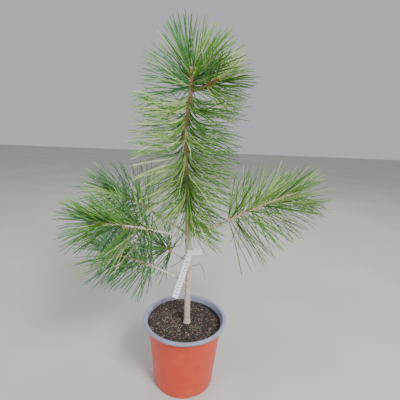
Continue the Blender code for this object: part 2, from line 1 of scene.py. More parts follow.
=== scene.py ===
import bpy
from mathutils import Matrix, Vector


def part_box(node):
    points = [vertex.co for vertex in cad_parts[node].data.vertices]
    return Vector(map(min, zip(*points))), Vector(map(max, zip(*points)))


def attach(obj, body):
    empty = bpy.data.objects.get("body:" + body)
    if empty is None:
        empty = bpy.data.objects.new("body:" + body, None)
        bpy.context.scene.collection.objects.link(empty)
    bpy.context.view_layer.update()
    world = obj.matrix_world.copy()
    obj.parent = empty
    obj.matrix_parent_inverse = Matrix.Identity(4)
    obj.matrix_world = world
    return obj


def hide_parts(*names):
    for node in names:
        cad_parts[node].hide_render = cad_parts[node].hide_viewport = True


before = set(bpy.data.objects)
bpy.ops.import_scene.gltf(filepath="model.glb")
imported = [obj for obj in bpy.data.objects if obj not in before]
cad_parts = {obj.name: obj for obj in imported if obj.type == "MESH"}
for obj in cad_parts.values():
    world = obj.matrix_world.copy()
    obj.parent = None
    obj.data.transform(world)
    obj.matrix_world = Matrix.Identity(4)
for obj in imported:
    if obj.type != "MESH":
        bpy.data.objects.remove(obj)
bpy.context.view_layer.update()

import math
import random

import bmesh
import bpy
import numpy as np
from mathutils import Matrix, Vector, noise

# A young ponderosa pine in a round nursery pot. The limbs follow the same routes as
# the solids, and every mass of needles grows by the same rule as its solid, with
# finer and more numerous needles. Sizes are in metres.

# Camera: its place, and how it looks down, turns and tilts
CAMERA_PLACE = (0.0, -0.614, 0.5858)
CAMERA_PITCH = math.radians(13.43)
CAMERA_YAW = math.radians(2.16)
CAMERA_ROLL = math.radians(-2.42)
CAMERA_LENS = 27.0
CAMERA_SENSOR = 36.0
PICTURE_SIDE = 400

# Pot
POT_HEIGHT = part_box("pot")[1].z
RIM_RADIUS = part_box("pot")[1].x
COLLAR_RADIUS = 0.0865
NECK_RADIUS = 0.0838
FOOT_RADIUS = 0.069
POT_WALL = 0.0016
POT_FLOOR = 0.0022
RIM_DEPTH = 0.0072
COLLAR_HEIGHT = 0.0145
SKIN = 0.0008
LINING_GAP = 0.00005
AXIS_RADIUS = 0.0004
FOOT_ROUND = 0.0022
RIM_ROLL = 0.0026
POT_SIDES = 144
DRAIN_COUNT = 8
DRAIN_WIDTH = 0.011
DRAIN_INNER = 0.058
DRAIN_HEIGHT = 0.0045
DRAIN_TURN = 0.4
OUTSIDE_SHARP = math.radians(32)
LINING_SHARP = math.radians(35)

# Soil: its level and edge, how it is heaped, sunk, mounded round the trunk and lumpy,
# the heights of the ledge that it spreads over, and the plain plug under its top
SOIL_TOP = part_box("soil")[1].z
SOIL_RADIUS = 0.0812
SOIL_SETTLED = 0.0025
SOIL_HEAP = 0.0075
HEAP_SLANT = 0.5
HEAP_SPAN = (-0.10, 0.75)
SOIL_SINK = 0.0080
SINK_SLANT = 0.3
SINK_SPAN = (0.20, 1.0)
MOUND_HEIGHT = 0.0018
MOUND_REACH = 0.018
LUMP_HEIGHT = 0.0020
LUMP_SCALE = 60
LUMP_LAYER = 3.1
LUMP_NOISE = (0.9, 2.0, 4)
SOIL_SPREAD = 0.0030
LEDGE_SPAN = (0.1498, 0.1512)
PLUG_LOW = 0.0026
PLUG_RINGS = ((0.0800, 0.1320), (0.0655, PLUG_LOW))
SOIL_RINGS = 60
SOIL_SIDES = 120
SOIL_HEART = 0.015
SHEET_RINGS = 24
SHEET_SIDES = 64
SHEET_SPAN = (0.02, 0.975)

# Grains strewn on the soil: how many lie on a square metre where they are thickest,
# their sizes, how far they tilt in radians, and a seed. The mulch thins out from one
# spot, and the others lie everywhere.
GRAINS = {
    "soil_crumbs": dict(Density=150000.0, Smallest=0.0006, Largest=0.0021, Tilt=3.0, Seed=1),
    "soil_brown_crumbs": dict(Density=30000.0, Smallest=0.0005, Largest=0.0017, Tilt=3.0, Seed=2),
    "soil_mulch": dict(Density=90000.0, Smallest=0.0007, Largest=0.0026, Tilt=0.5, Seed=3),
    "soil_fibres": dict(Density=16000.0, Smallest=0.0035, Largest=0.0105, Tilt=0.30, Seed=4),
    "soil_chips": dict(Density=3500.0, Smallest=0.0014, Largest=0.0040, Tilt=0.5, Seed=5),
    "soil_white_grains": dict(Density=9000.0, Smallest=0.0005, Largest=0.0011, Tilt=3.0, Seed=6),
}
CRUMB_SIZES = (0.65, 1.15)
CHIP_SQUASH = 0.22
FIBRE_BEND = 0.22
FIBRE_THICK = 0.055
MULCH_PIXEL = (168, 318)
MULCH_REACH = 0.052
EVERYWHERE = 10.0
LEVEL_STEPS = 5

# Weeds: the pixels of the photograph that show them, and their sprouts and leaves
WEED_PIXELS = ((170, 333), (198, 328), (209, 335), (162, 305), (166, 302))
WEED_SPROUTS = 6
WEED_LEAVES = 4
WEED_SPREAD = 0.0045
WEED_SUNK = 0.0005
WEED_LEAF = (0.0014, 0.0034)
WEED_LEAF_THICK = 0.00055

# Trunk: its middle as (x, y, z), and its radius at heights
TRUNK_ROUTE = (
    (0.0047, -0.0020, 0.1488),
    (0.0041, -0.0006, 0.2230),
    (0.0054, 0.0004, 0.2925),
    (0.0008, 0.0000, 0.3490),
    (-0.0037, -0.0010, 0.4430),
    (-0.0091, 0.0000, 0.5330),
    (-0.0108, 0.0008, 0.5810),
    (-0.0057, 0.0006, 0.6310),
    (-0.0036, 0.0000, 0.6560),
    (-0.0029, 0.0000, 0.6800),
    (-0.0009, 0.0000, 0.7005),
)
TRUNK_RADII = (
    (0.1485, 0.0086),
    (0.1525, 0.0078),
    (0.1605, 0.0070),
    (0.2000, 0.0066),
    (0.2600, 0.0065),
    (0.3350, 0.0062),
    (0.3490, 0.0069),
    (0.3660, 0.0055),
    (0.4100, 0.0048),
    (0.4500, 0.0043),
    (0.5000, 0.0039),
    (0.5600, 0.0036),
    (0.6200, 0.0034),
    (0.6380, 0.0034),
    (0.6530, 0.0043),
    (0.6640, 0.0036),
    (0.6850, 0.0040),
    (0.6930, 0.0046),
    (0.6980, 0.0034),
    (0.7005, 0.0012),
)
TRUNK_SPAN_STEPS = 4
TRUNK_SUNK = 0.010
SCARS_FROM = 0.345
EVEN_TURN = 0.30
CANDLE_FROM = 0.6600
CANDLE_TO = 0.6960
TRUNK_FLARE = 1.1
TRUNK_CURVE_STEPS = 3

# Boughs: azimuth from +X towards +Y, the height where the bough leaves the trunk,
# its reach and rise to the tip bud, how far its middle bows up, its radius at the
# trunk and at the tip, and the share of its length that is bare
BOUGHS = {
    "right": dict(
        azimuth=12, height=0.3555, reach=0.2420, rise=0.0950, bow=0.0010,
        thick=0.0028, thin=0.0021, bare=0.36, sway=0.0020, seed=11,
    ),
    "left_front": dict(
        azimuth=208, height=0.3552, reach=0.1900, rise=0.0592, bow=0.0015,
        thick=0.0024, thin=0.0018, bare=0.44, sway=0.0015, seed=12,
    ),
    "left_back": dict(
        azimuth=150, height=0.3620, reach=0.2170, rise=0.0682, bow=0.0060,
        thick=0.0024, thin=0.0018, bare=0.42, sway=0.0020, seed=13,
    ),
    "left_low": dict(
        azimuth=178, height=0.2430, reach=0.1660, rise=0.0660, bow=0.0090,
        thick=0.0024, thin=0.0017, bare=0.50, sway=0.0015, seed=14,
    ),
    "short": dict(
        azimuth=150, height=0.2940, reach=0.0740, rise=0.0240, bow=0.0020,
        thick=0.0018, thin=0.0015, bare=0.62, sway=0.0008, seed=15,
    ),
    "top_right": dict(
        azimuth=-20, height=0.6550, reach=0.0560, rise=0.0230, bow=-0.0030,
        thick=0.0030, thin=0.0030, bare=0.50, sway=0.0005, seed=16,
    ),
}
BOUGH_STEPS = 12
BOUGH_COLLAR = 1.35
COLLAR_LENGTH = 0.014
BUD_LENGTH = 0.004
BUD_SWELL = 1.45
BUD_POINT = 0.45
SWAY_WAVE = 5.2
LIFT_WAVE = 8.5
BOUGH_CURVE_STEPS = 4

# Dead twigs, as azimuth and then (reach, height) along the twig
DEAD_TWIGS = {
    "dead_twig_right": (
        0, ((0.004, 0.2885), (0.0085, 0.2886), (0.0165, 0.2900), (0.0245, 0.2934),
            (0.0292, 0.2855), (0.0328, 0.2735), (0.0362, 0.2550)),
    ),
    "dead_twig_left": (
        176, ((0.004, 0.3140), (0.0090, 0.3120), (0.0150, 0.3050), (0.0195, 0.2975),
              (0.0310, 0.2885), (0.0425, 0.2810)),
    ),
}
DEAD_TWIG_THICK = 0.00104
DEAD_TWIG_THIN = 0.00063
DEAD_TWIG_STEPS = 6

# Bark relief: the mesh's sides and its step along a limb, how deep the bark is, how
# high and how far apart the needle scars are, and the way that turns are counted from
TRUNK_BARK = dict(
    sides=28, step=0.0009, depth=0.00030, scar=0.00055, spacing=0.0021, reference=(0.97, 0.21, 0.10),
)
BOUGH_BARK = dict(
    sides=16, step=0.0008, depth=0.00022, scar=0.00034, spacing=0.0017, reference=(0.05, 0.12, 0.99),
)
TWIG_BARK = dict(
    sides=8, step=0.0009, depth=0.00016, scar=0.00012, spacing=0.003, reference=(0.1, 0.98, 0.1),
)

# The bark's noise, the least width of a limb with it, where scars fade in, how wide a
# scar is for its height, and how many widths it runs up and down the shoot
BARK_GRAIN = 420.0
BARK_STRETCH = 0.35
BARK_NOISE = (0.9, 2.1, 4)
LEAST_WIDTH = 0.25
SCAR_FADE = 0.02
SCAR_WIDENING = 1.6
SCAR_LEAST = 0.0003
SCAR_SPAN = 9
SCAR_AHEAD = 0.8
SCAR_BEHIND = 3.2

# Buds and scales: their sizes, how deep a bud sits, and how the side buds stand
LEADER_BUD = dict(length=0.0115, radius=0.0040, scales=36)
SIDE_BUD = dict(length=0.0080, radius=0.0025, scales=22)
BOUGH_BUD = dict(length=0.0070, radius=0.0022, scales=20)
SHOOT_BUD = dict(length=0.0060, radius=0.0018, scales=18)
LEADER_BUD_SEAT = 0.0075
BOUGH_BUD_SEAT = 0.003
SIDE_BUDS = 5
SIDE_BUD_TURN = 0.4
SIDE_BUD_OUT = 0.0032
SIDE_BUD_LOW = 0.001
SIDE_BUD_LEAN = 0.85
SHOOT_BUD_TURNS = (0.5, 2.6, 4.7)
SHOOT_BUD_OUT = 0.002
SHOOT_BUD_LEAN = 0.8
BUD_RINGS = 10
BUD_SIDES = 10
CANDLE_SCALES = dict(count=80, length=0.0038, width=0.0030, lift=0.0021)
SHOOT_SCALES = dict(count=60, length=0.0034, width=0.0024, lift=0.0013)
SHOOT_SCALES_FROM = 0.008
SHOOT_SCALES_TO = 0.9
SCALE_SUNK = 0.0003
SCALE_THICK = 0.0004
SCALE_RIDGE = 0.4

# Needle bundles
NEEDLE_LENGTH = 0.130
FORK_SHARE = 0.25
NEEDLE_SPREAD = math.radians(10)
GOLDEN_ANGLE = math.radians(137.5)
NEEDLES_IN_BUNDLE = 3
NEEDLE_SHORTER = 0.05
PLACE_JITTER = 0.4
TURN_JITTER = 0.5
LEAN_JITTER = 15
CURL_JITTER = 9
SIDE_JITTER = 15
LENGTH_JITTER = (0.90, 1.04)
ROOT_SINK = 0.0013
STEM_MARGIN = 0.0030
TRIES = 14
CROSSING_SHARE = 0.12
FINENESS = 2
CLEAR_SHARES = (0.40, 0.55, 0.70, 0.85, 1.0)
SIGHT_SHARES = (
    0.12, 0.16, 0.21, 0.26, 0.32, 0.38, 0.44, 0.50, 0.56, 0.62, 0.68, 0.75, 0.82, 0.90, 1.0,
)
SIGHT_STEP = 0.0025
LIMB_SPARE = 0.0003
BUD_SPARE = 0.0025
YOUNG_FROM = 0.70
NEEDLE_THICK = 0.00086
BEND_FROM = 0.45
BEND_TO = 0.24
BEND_RINGS = 4
OUTER_SHARES = (0.33, 0.66, 0.92)
NEEDLE_PROFILE = (0.80, 0.90, 1.0, 1.0, 1.0, 1.0, 0.95, 0.70)
BOW = 0.022
SAG = 0.006
START_ALONG = 0.004
START_APART = 0.0004
FORK_APART = 0.003
NEEDLE_CLEARANCE = 0.0010
REACH_SLACK = 0.009
LOWEST_SLOPE = 0.27
SHEATH_LENGTH = 0.0085
SHEATH_THICK = 0.00098
SHEATH_SIDES = 5
SHEATH_SUNK = 0.001
SHEATH_SHARES = (0.0, 0.35, 0.8, 1.0)
SHEATH_PROFILE = (0.95, 1.1, 1.0, 0.8)
ROD_POINT = 0.0004
TINT_SEED = 500
# painted shade: how much more of the blue tint the sprays towards the left take
BLUER_PAINTED_SHADE_LEFT = 0.7
FRESHER_RIGHT = 0.4

# The ways that turns are counted from, round a shoot, a rod, a bundle and a tip
SHOOT_REFERENCE = (0.12, 0.97, 0.21)
ROD_REFERENCE = (0.23, 0.41, 0.88)
BUNDLE_REFERENCE = (0.31, 0.87, 0.38)
TIP_REFERENCE = (0.1, 0.3, 0.9)

# How strongly bump nodes tilt a surface
BUMP = 0.8

# Masses of needles. Angles are in degrees from the way the shoot grows: lean is a
# bundle's first angle at the mass's foot and tip, curl how far it then turns back
# towards the shoot, droop how much wider a bundle opens under the shoot and how
# much less above it. Length is a share of NEEDLE_LENGTH at foot and tip. Lowest is
# how far down needle tips may hang at the trunk. Tints are the shares of the sprays
# that have each colour.
# The light tint is a pale yellow-green that also stands for painted highlights on sunlit needles.
OLD_TINTS = dict(fresh=5, light=4, deep=1)
# The blue tint is a blue-green that is partly the needles' own colour and partly painted shade on
# the lower and back boughs at the left.
SHADED_BOUGH_TINTS = dict(blue=5, fresh=3, light=1, deep=2)
TRUNK_MASSES = {
    "trunk_1": dict(
        low=0.384, high=0.446, count=28, lean=(150, 157), curl=(33, 30), length=(0.70, 0.95),
        droop=0, lowest=0.350, seed=21, tints=OLD_TINTS,
    ),
    "trunk_2": dict(
        low=0.449, high=0.512, count=30, lean=(158, 150), curl=(30, 36), length=(0.96, 1.0),
        droop=0, seed=22, tints=OLD_TINTS,
    ),
    "trunk_3": dict(
        low=0.515, high=0.578, count=30, lean=(150, 140), curl=(38, 40), length=(1.0, 1.0),
        droop=0, seed=23, tints=OLD_TINTS,
    ),
    "trunk_4": dict(
        low=0.581, high=0.649, count=38, lean=(138, 112), curl=(38, 30), length=(1.0, 1.0),
        droop=0, seed=24, tints=OLD_TINTS,
    ),
    "leader": dict(
        low=0.6612, high=0.6905, count=50, lean=(118, 12), curl=(12, 2), length=(0.93, 0.83),
        droop=0, seed=25, tints=dict(fresh=6, blue=4, light=1, deep=1),
    ),
}
BOUGH_MASSES = {
    "right": dict(
        count=54, lean=(76, 28), curl=(4, 2), length=(1.02, 0.82), droop=17, seed=31,
        tints=dict(fresh=5, light=3, deep=2),
    ),
    "left_front": dict(
        count=42, lean=(82, 26), curl=(6, 2), length=(0.92, 0.62), droop=14, seed=32,
        tints=dict(blue=3, fresh=4, light=1, deep=3),
    ),
    "left_back": dict(
        count=42, lean=(82, 24), curl=(6, 2), length=(0.96, 0.80), droop=12, seed=33,
        tints=SHADED_BOUGH_TINTS,
    ),
    "left_low": dict(
        count=38, lean=(84, 30), curl=(6, 2), length=(0.64, 0.84), droop=16, seed=34,
        tints=SHADED_BOUGH_TINTS,
    ),
    "short": dict(
        count=16, lean=(80, 22), curl=(6, 2), length=(0.66, 0.74), droop=14, seed=35,
        tints=SHADED_BOUGH_TINTS,
    ),
    "top_right": dict(
        count=20, lean=(74, 16), curl=(6, 2), length=(0.66, 0.58), droop=4, seed=36,
        tints=dict(fresh=5, light=4, deep=1),
    ),
}

# Lights: name, place, size and power. The strongest comes from the right. Then the
# even light all round, and the floor.
LIGHTS = (
    ("key_light", (1.1, -1.6, 2.2), 0.8, 84.0),
    ("fill_light", (-1.7, -1.1, 1.2), 1.6, 14.0),
    ("back_light", (0.3, 1.7, 1.9), 1.4, 16.0),
)
LIGHT_AIM = (0.0, 0.0, 0.40)
SKY_COLOUR = (0.90, 0.92, 0.95, 1.0)
SKY_STRENGTH = 0.55
FLOOR_SIZE = 14.0

# Label: its hanging strap from top to bottom, its head from end to end, and the ticks
LABEL_STRAP = ((0.0068, -0.0076, 0.3250), (-0.0238, -0.0225, 0.2225))
LABEL_HEAD = ((-0.006, -0.008, 0.3225), (0.031, -0.008, 0.3225))
STRAP_WIDTH = 0.0126
LABEL_THICK = 0.0006
MARK_COUNT = 11
MARK_LENGTH = 0.0058
MARK_WIDTH = 0.0015
MARK_THICK = 0.00006
MARK_FROM = 0.22
MARK_SPAN = 0.70
LONG_MARK_EVERY = 5
SHORT_MARK = 0.6


class Field:
    """A number that changes over a surface; arithmetic on it adds Math nodes."""

    def __init__(self, finish, socket):
        self.finish = finish
        self.socket = socket

    def worked(self, operation, first, second):
        made = self.finish.node("Math", {"operation": operation}, {0: first, 1: second})
        return Field(self.finish, made.outputs[0])

    def __add__(self, other):
        return self.worked("ADD", self, other)

    def __rsub__(self, other):
        return self.worked("SUBTRACT", other, self)

    def __mul__(self, other):
        return self.worked("MULTIPLY", self, other)

    __radd__ = __add__
    __rmul__ = __mul__

    def between(self, low, high):
        """0 below low, 1 above high, with a smooth rise from one to the other."""
        made = self.finish.node(
            "MapRange",
            {"interpolation_type": "SMOOTHSTEP"},
            {"Value": self, "From Min": low, "From Max": high},
        )
        return Field(self.finish, made.outputs[0])


def fill_sockets(tree, node, sockets):
    """Set or link a node's sockets, by their names or numbers."""
    for key, value in sockets.items():
        if isinstance(value, Field):
            value = value.socket
        if isinstance(value, bpy.types.NodeSocket):
            tree.links.new(value, node.inputs[key])
        else:
            node.inputs[key].default_value = value


def add_node(tree, kind, settings=None, sockets=None):
    """A new node: its settings are made first, then its sockets are set or linked."""
    made = tree.nodes.new(kind)
    for key, value in (settings or {}).items():
        setattr(made, key, value)
    fill_sockets(tree, made, sockets or {})
    return made


class Finish:
    """A material whose nodes vary it over a piece by the piece's real place."""

    def __init__(self, name, fixed=None):
        self.material = bpy.data.materials.new(name)
        self.material.use_nodes = True
        self.tree = self.material.node_tree
        self.shader = self.tree.nodes["Principled BSDF"]
        fill_sockets(self.tree, self.shader, fixed or {})
        self.place = self.node("TexCoord").outputs["Object"]

    def node(self, kind, settings=None, sockets=None):
        return add_node(self.tree, "ShaderNode" + kind, settings, sockets)

    def stretched(self, stretch):
        made = self.node("Mapping", {}, {"Vector": self.place, "Scale": stretch})
        return made.outputs[0]

    def noise(self, scale, detail=2.0, stretch=(1, 1, 1)):
        sockets = {"Vector": self.stretched(stretch), "Scale": scale, "Detail": detail}
        return Field(self, self.node("TexNoise", {}, sockets).outputs[0])

    def cracks(self, scale, stretch=(1, 1, 1)):
        """How far a point is from the edges of irregular cells."""
        sockets = {"Vector": self.stretched(stretch), "Scale": scale}
        made = self.node("TexVoronoi", {"feature": "DISTANCE_TO_EDGE"}, sockets)
        return Field(self, made.outputs["Distance"])

    def height(self):
        made = self.node("SeparateXYZ", {}, {0: self.place})
        return Field(self, made.outputs[2])

    def mix(self, share, first, second):
        colours = [(*c, 1.0) if isinstance(c, tuple) else c for c in (first, second)]
        made = self.node(
            "Mix", {"data_type": "RGBA"}, {0: share, 6: colours[0], 7: colours[1]},
        )
        return made.outputs[2]

    def colour(self, value):
        fill_sockets(self.tree, self.shader, {"Base Color": value})

    def roughness(self, value):
        fill_sockets(self.tree, self.shader, {"Roughness": value})

    def relief(self, height, depth):
        made = self.node("Bump", {}, {"Strength": BUMP, "Distance": depth, "Height": height})
        fill_sockets(self.tree, self.shader, {"Normal": made.outputs[0]})


def pot_plastic(name, base, faded, roughness, sunk=None):
    """Moulded plastic: faint clouds, fine rubbed streaks and a fine grain.

    The sunk colour is painted shade: it takes over below the ledge inside the pot, where the inside
    lies in shade.
    """
    finish = Finish(name)
    cloud = finish.noise(38, detail=4).between(0.35, 0.72)
    rubbed = finish.noise(260, detail=4, stretch=(1, 1, 0.12)).between(0.58, 0.80)
    dust = 1 - finish.height().between(0.002, 0.030)
    blotch = finish.noise(140, detail=3).between(0.45, 0.70)
    colour = finish.mix(cloud * 0.45 + rubbed * 0.35, base, faded)
    colour = finish.mix(dust * blotch * 0.45, colour, (0.30, 0.20, 0.13))
    # painted shade: below the inner ledge the lining takes the dark sunk colour for the shade deep
    # in the pot
    if sunk:
        ledge = POT_HEIGHT - COLLAR_HEIGHT
        colour = finish.mix(finish.height().between(ledge + 0.001, ledge + 0.004), sunk, colour)
    finish.colour(colour)
    finish.roughness(cloud * 0.10 + rubbed * 0.12 + roughness)
    finish.relief(finish.noise(1400, detail=2) + rubbed * 0.6, 0.00010)
    return finish.material


def soil_finish(name, dark, brown, scale=1.0):
    """Damp crumbly earth: brown lumps in the dark, and paler specks."""
    finish = Finish(name, {"Roughness": 0.95})
    lump = finish.noise(260 * scale, detail=5).between(0.35, 0.70)
    speck = finish.noise(900 * scale, detail=3).between(0.55, 0.75)
    colour = finish.mix(lump, dark, brown)
    finish.colour(finish.mix(speck * 0.5, colour, (0.16, 0.105, 0.065)))
    finish.relief(lump + speck * 0.7, 0.0008)
    return finish.material


def bark_finish(name, old, young, rust, turns_at):
    """Scaly bark that turns to younger bark above a height, with darker cracks."""
    finish = Finish(name)
    rise = finish.height().between(turns_at - 0.02, turns_at + 0.035)
    mottle = finish.noise(230, detail=5).between(0.30, 0.72)
    streak = finish.noise(420, detail=4, stretch=(1, 1, 0.22)).between(0.40, 0.68)
    crack = finish.cracks(330, stretch=(1, 1, 0.42)).between(0.0, 0.10)
    colour = finish.mix(rise, old, young)
    colour = finish.mix(mottle * 0.55, colour, rust)
    colour = finish.mix(streak * 0.40, colour, (0.50, 0.44, 0.37))
    shade = (1 - crack) * 0.42
    finish.colour(finish.mix(shade, colour, (0.10, 0.070, 0.050)))
    finish.roughness(0.78 + mottle * 0.15)
    finish.relief(crack * 0.8 + streak * 0.5 + mottle * 0.5, 0.0006)
    return finish.material


def even_bark(name, base, rust):
    """Bark of one age all along a limb."""
    return bark_finish(name, base, base, rust, EVEN_TURN)


def needle_finish(name, base, paler):
    """A needle's waxy green, which drifts a little from one spray to the next."""
    finish = Finish(name, {"Roughness": 0.42})
    drift = finish.noise(26, detail=2).between(0.32, 0.70)
    finish.colour(finish.mix(drift, base, paler))
    return finish.material


def grainy_finish(name, base, other, roughness, scale):
    """A plain surface with soft spots of a second colour and a fine grain."""
    finish = Finish(name, {"Roughness": roughness})
    spot = finish.noise(scale, detail=3).between(0.38, 0.68)
    finish.colour(finish.mix(spot, base, other))
    finish.relief(finish.noise(scale * 3, detail=2), 0.0002)
    return finish.material


class Shape:
    """Vertices and faces collected for one piece."""

    def __init__(self):
        self.points = []
        self.quads = []
        self.triangles = []
        self.count = 0

    def add(self, points, quads, triangles):
        self.points.append(np.asarray(points, float).reshape(-1, 3))
        self.quads.append(np.asarray(quads, int).reshape(-1, 4) + self.count)
        self.triangles.append(np.asarray(triangles, int).reshape(-1, 3) + self.count)
        self.count += len(self.points[-1])

    def piece(self, name, surface, smooth=False, turn_out=False):
        """The collected faces as an object with its place in its mesh."""
        points = np.concatenate(self.points).astype(np.float32)
        quads, triangles = np.concatenate(self.quads), np.concatenate(self.triangles)
        sizes = np.concatenate([np.full(len(quads), 4), np.full(len(triangles), 3)])
        loops = np.concatenate([quads.ravel(), triangles.ravel()]).astype(np.int32)
        starts = np.concatenate([[0], np.cumsum(sizes)[:-1]]).astype(np.int32)
        mesh = bpy.data.meshes.new(name)
        mesh.vertices.add(len(points))
        mesh.vertices.foreach_set("co", points.ravel())
        mesh.loops.add(len(loops))
        mesh.loops.foreach_set("vertex_index", loops)
        mesh.polygons.add(len(sizes))
        mesh.polygons.foreach_set("loop_start", starts)
        mesh.update(calc_edges=True)
        mesh.validate()
        if turn_out:
            point_faces_out(mesh)
        if smooth:
            mesh.shade_smooth()
        else:
            mesh.shade_flat()
        mesh.materials.append(surface)
        return new_object(name, mesh)


def point_faces_out(mesh):
    """Turn a mesh's faces outwards."""
    work = bmesh.new()
    work.from_mesh(mesh)
    bmesh.ops.recalc_face_normals(work, faces=work.faces)
    work.to_mesh(mesh)
    work.free()


def new_object(name, data):
    """An object in the scene that shows the data."""
    made = bpy.data.objects.new(name, data)
    bpy.context.scene.collection.objects.link(made)
    return made


def keep(piece, slot, *nodes):
    """Let a piece ride on the plant and stand for its nodes."""
    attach(piece, "root")
    if nodes:
        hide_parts(*nodes)


def unit(vector):
    """The vector's direction, one long."""
    return vector / np.linalg.norm(vector)


def units(vectors):
    """The directions of many vectors, each one long."""
    return vectors / np.linalg.norm(vectors, axis=-1, keepdims=True)


def ring_quads(rings, sides, closed=False):
    """Faces between each ring of points and the next, and from the last to the first."""
    corner = np.arange(sides)
    after = (corner + 1) % sides
    pairs = [(k * sides, (k + 1) % rings * sides) for k in range(rings if closed else rings - 1)]
    return np.concatenate([
        np.stack([this + corner, following + corner, following + after, this + after], axis=1)
        for this, following in pairs
    ])


def fan(first, tip, sides, turned=False):
    """Faces from a ring's points to one tip."""
    corner = first + np.arange(sides)
    after = first + (np.arange(sides) + 1) % sides
    pair = [after, corner] if turned else [corner, after]
    return np.stack([*pair, np.full(sides, tip)], axis=1)


def ring_turns(sides):
    """The angles of the points round a ring."""
    return np.arange(sides) * math.tau / sides


def level_way(angle):
    """The level direction at an angle from +X."""
    return np.array([math.cos(angle), math.sin(angle), 0.0])


def outward_from(along, turn, reference=SHOOT_REFERENCE):
    """The direction at right angles to a shoot, a turn round it."""
    across = unit(np.cross(along, reference))
    over = np.cross(along, across)
    return across * math.cos(turn) + over * math.sin(turn)


def add_rods(shape, line, way, widths, tip, reference=ROD_REFERENCE):
    """Closed rods: line and way are (rod, ring, 3), widths (rod, ring, side)."""
    rods, rings, sides = widths.shape
    across = units(np.cross(way, reference))
    over = np.cross(way, across)
    turn = ring_turns(sides)
    spokes = (
        np.cos(turn)[None, None, :, None] * across[:, :, None, :]
        + np.sin(turn)[None, None, :, None] * over[:, :, None, :]
    )
    skin = line[:, :, None, :] + widths[..., None] * spokes
    skin = skin.reshape(rods, rings * sides, 3)
    points = np.concatenate([skin, line[:, :1], tip[:, None]], axis=1)
    skin_end = rings * sides
    quads = ring_quads(rings, sides)[:, [0, 3, 2, 1]]
    caps = [fan(0, skin_end, sides, turned=True), fan(skin_end - sides, skin_end + 1, sides)]
    shift = (np.arange(rods) * points.shape[1])[:, None, None]
    shape.add(points, quads[None] + shift, np.concatenate(caps)[None] + shift)


class Limb:
    """A tapering limb: the points along its middle and the radius at each."""

    def __init__(self, points, radii):
        self.points = np.array(points, float)
        self.radii = np.array(radii, float)
        steps = np.linalg.norm(np.diff(self.points, axis=0), axis=1)
        self.along = np.concatenate([[0.0], np.cumsum(steps)])
        self.length = self.along[-1]

    def at(self, distance):
        """The point, direction and radius at a distance along the limb."""
        point = np.array([np.interp(distance, self.along, c) for c in self.points.T])
        index = int(np.searchsorted(self.along, distance, side="right")) - 1
        index = min(max(index, 0), len(self.points) - 2)
        step = self.points[index + 1] - self.points[index]
        return point, unit(step), np.interp(distance, self.along, self.radii)

    def at_height(self, height):
        """The distance along an upright limb at a height."""
        return np.interp(height, self.points[:, 2], self.along)

    def stretch(self, start, end):
        """The part of the limb between two distances along it."""
        inner = [d for d in self.along if start + 1e-6 < d < end - 1e-6]
        ends = [self.at(d) for d in (start, *inner, end)]
        return Limb([p for p, _, _ in ends], [r for _, _, r in ends])

    def smoothed(self, span_steps):
        """The same limb with a curve through its points."""
        route = smooth_route(np.column_stack([self.points, self.radii]), span_steps)
        return Limb([key[:3] for key in route], [key[3] for key in route])


def smooth_route(keys, span_steps):
    """A Catmull-Rom curve through the keys."""
    keys = [np.array(key, float) for key in keys]
    padded = [2 * keys[0] - keys[1], *keys, 2 * keys[-1] - keys[-2]]
    points = []
    for a, b, c, d in zip(padded, padded[1:], padded[2:], padded[3:]):
        for step in range(span_steps):
            t = step / span_steps
            bend = (2 * a - 5 * b + 4 * c - d) * t**2 + (3 * b - a - 3 * c + d) * t**3
            points.append(0.5 * (2 * b + (c - a) * t + bend))
    points.append(keys[-1])
    return points


def trunk_limb():
    """The trunk with a point at every height where its taper changes."""
    route = np.array(smooth_route(TRUNK_ROUTE, TRUNK_SPAN_STEPS))
    heights, radii = np.array(TRUNK_RADII).T
    levels = np.unique(np.round(np.concatenate([route[:, 2], heights[1:-1]]), 4))
    points = [[np.interp(z, route[:, 2], route[:, axis]) for axis in (0, 1)] + [z] for z in levels]
    return Limb(points, np.interp(levels, heights, radii))


def bough_limb(trunk, azimuth, height, reach, rise, bow, thick, thin, sway, seed, **_):
    """A bough from the trunk's middle out to its tip bud."""
    rng = random.Random(seed)
    root, _, _ = trunk.at(trunk.at_height(height))
    angle = math.radians(azimuth)
    outward = level_way(angle)
    sideways = np.array([-math.sin(angle), math.cos(angle), 0.0])
    phase = rng.uniform(0, math.tau)
    points, radii = [], []
    for step in range(BOUGH_STEPS + 1):
        t = step / BOUGH_STEPS
        side = sway * math.sin(phase + SWAY_WAVE * t) * t
        lift = rise * t + bow * 4 * t * (1 - t) + 0.5 * sway * math.sin(phase + LIFT_WAVE * t) * t
        points.append(root + outward * reach * t + sideways * side + np.array([0, 0, lift]))
        collar = BOUGH_COLLAR ** (1 - min(t * reach / COLLAR_LENGTH, 1.0))
        radii.append((thick + (thin - thick) * t) * collar)
    direction = unit(points[-1] - points[-2])
    points.insert(-1, points[-1] - direction * BUD_LENGTH)
    radii.insert(-1, thin * BUD_SWELL)
    radii[-1] = thin * BUD_POINT
    return Limb(points, radii)


def dead_twig_limb(trunk, azimuth, keys):
    """A thin dead twig in an upright plane through the trunk."""
    angle = math.radians(azimuth)
    root, _, _ = trunk.at(trunk.at_height(keys[0][1]))
    route = [
        (root[0] + reach * math.cos(angle), root[1] + reach * math.sin(angle), height)
        for reach, height in ((0.0, keys[0][1]), *keys[1:])
    ]
    points = smooth_route(route, DEAD_TWIG_STEPS)
    return Limb(points, np.linspace(DEAD_TWIG_THICK, DEAD_TWIG_THIN, len(points)))


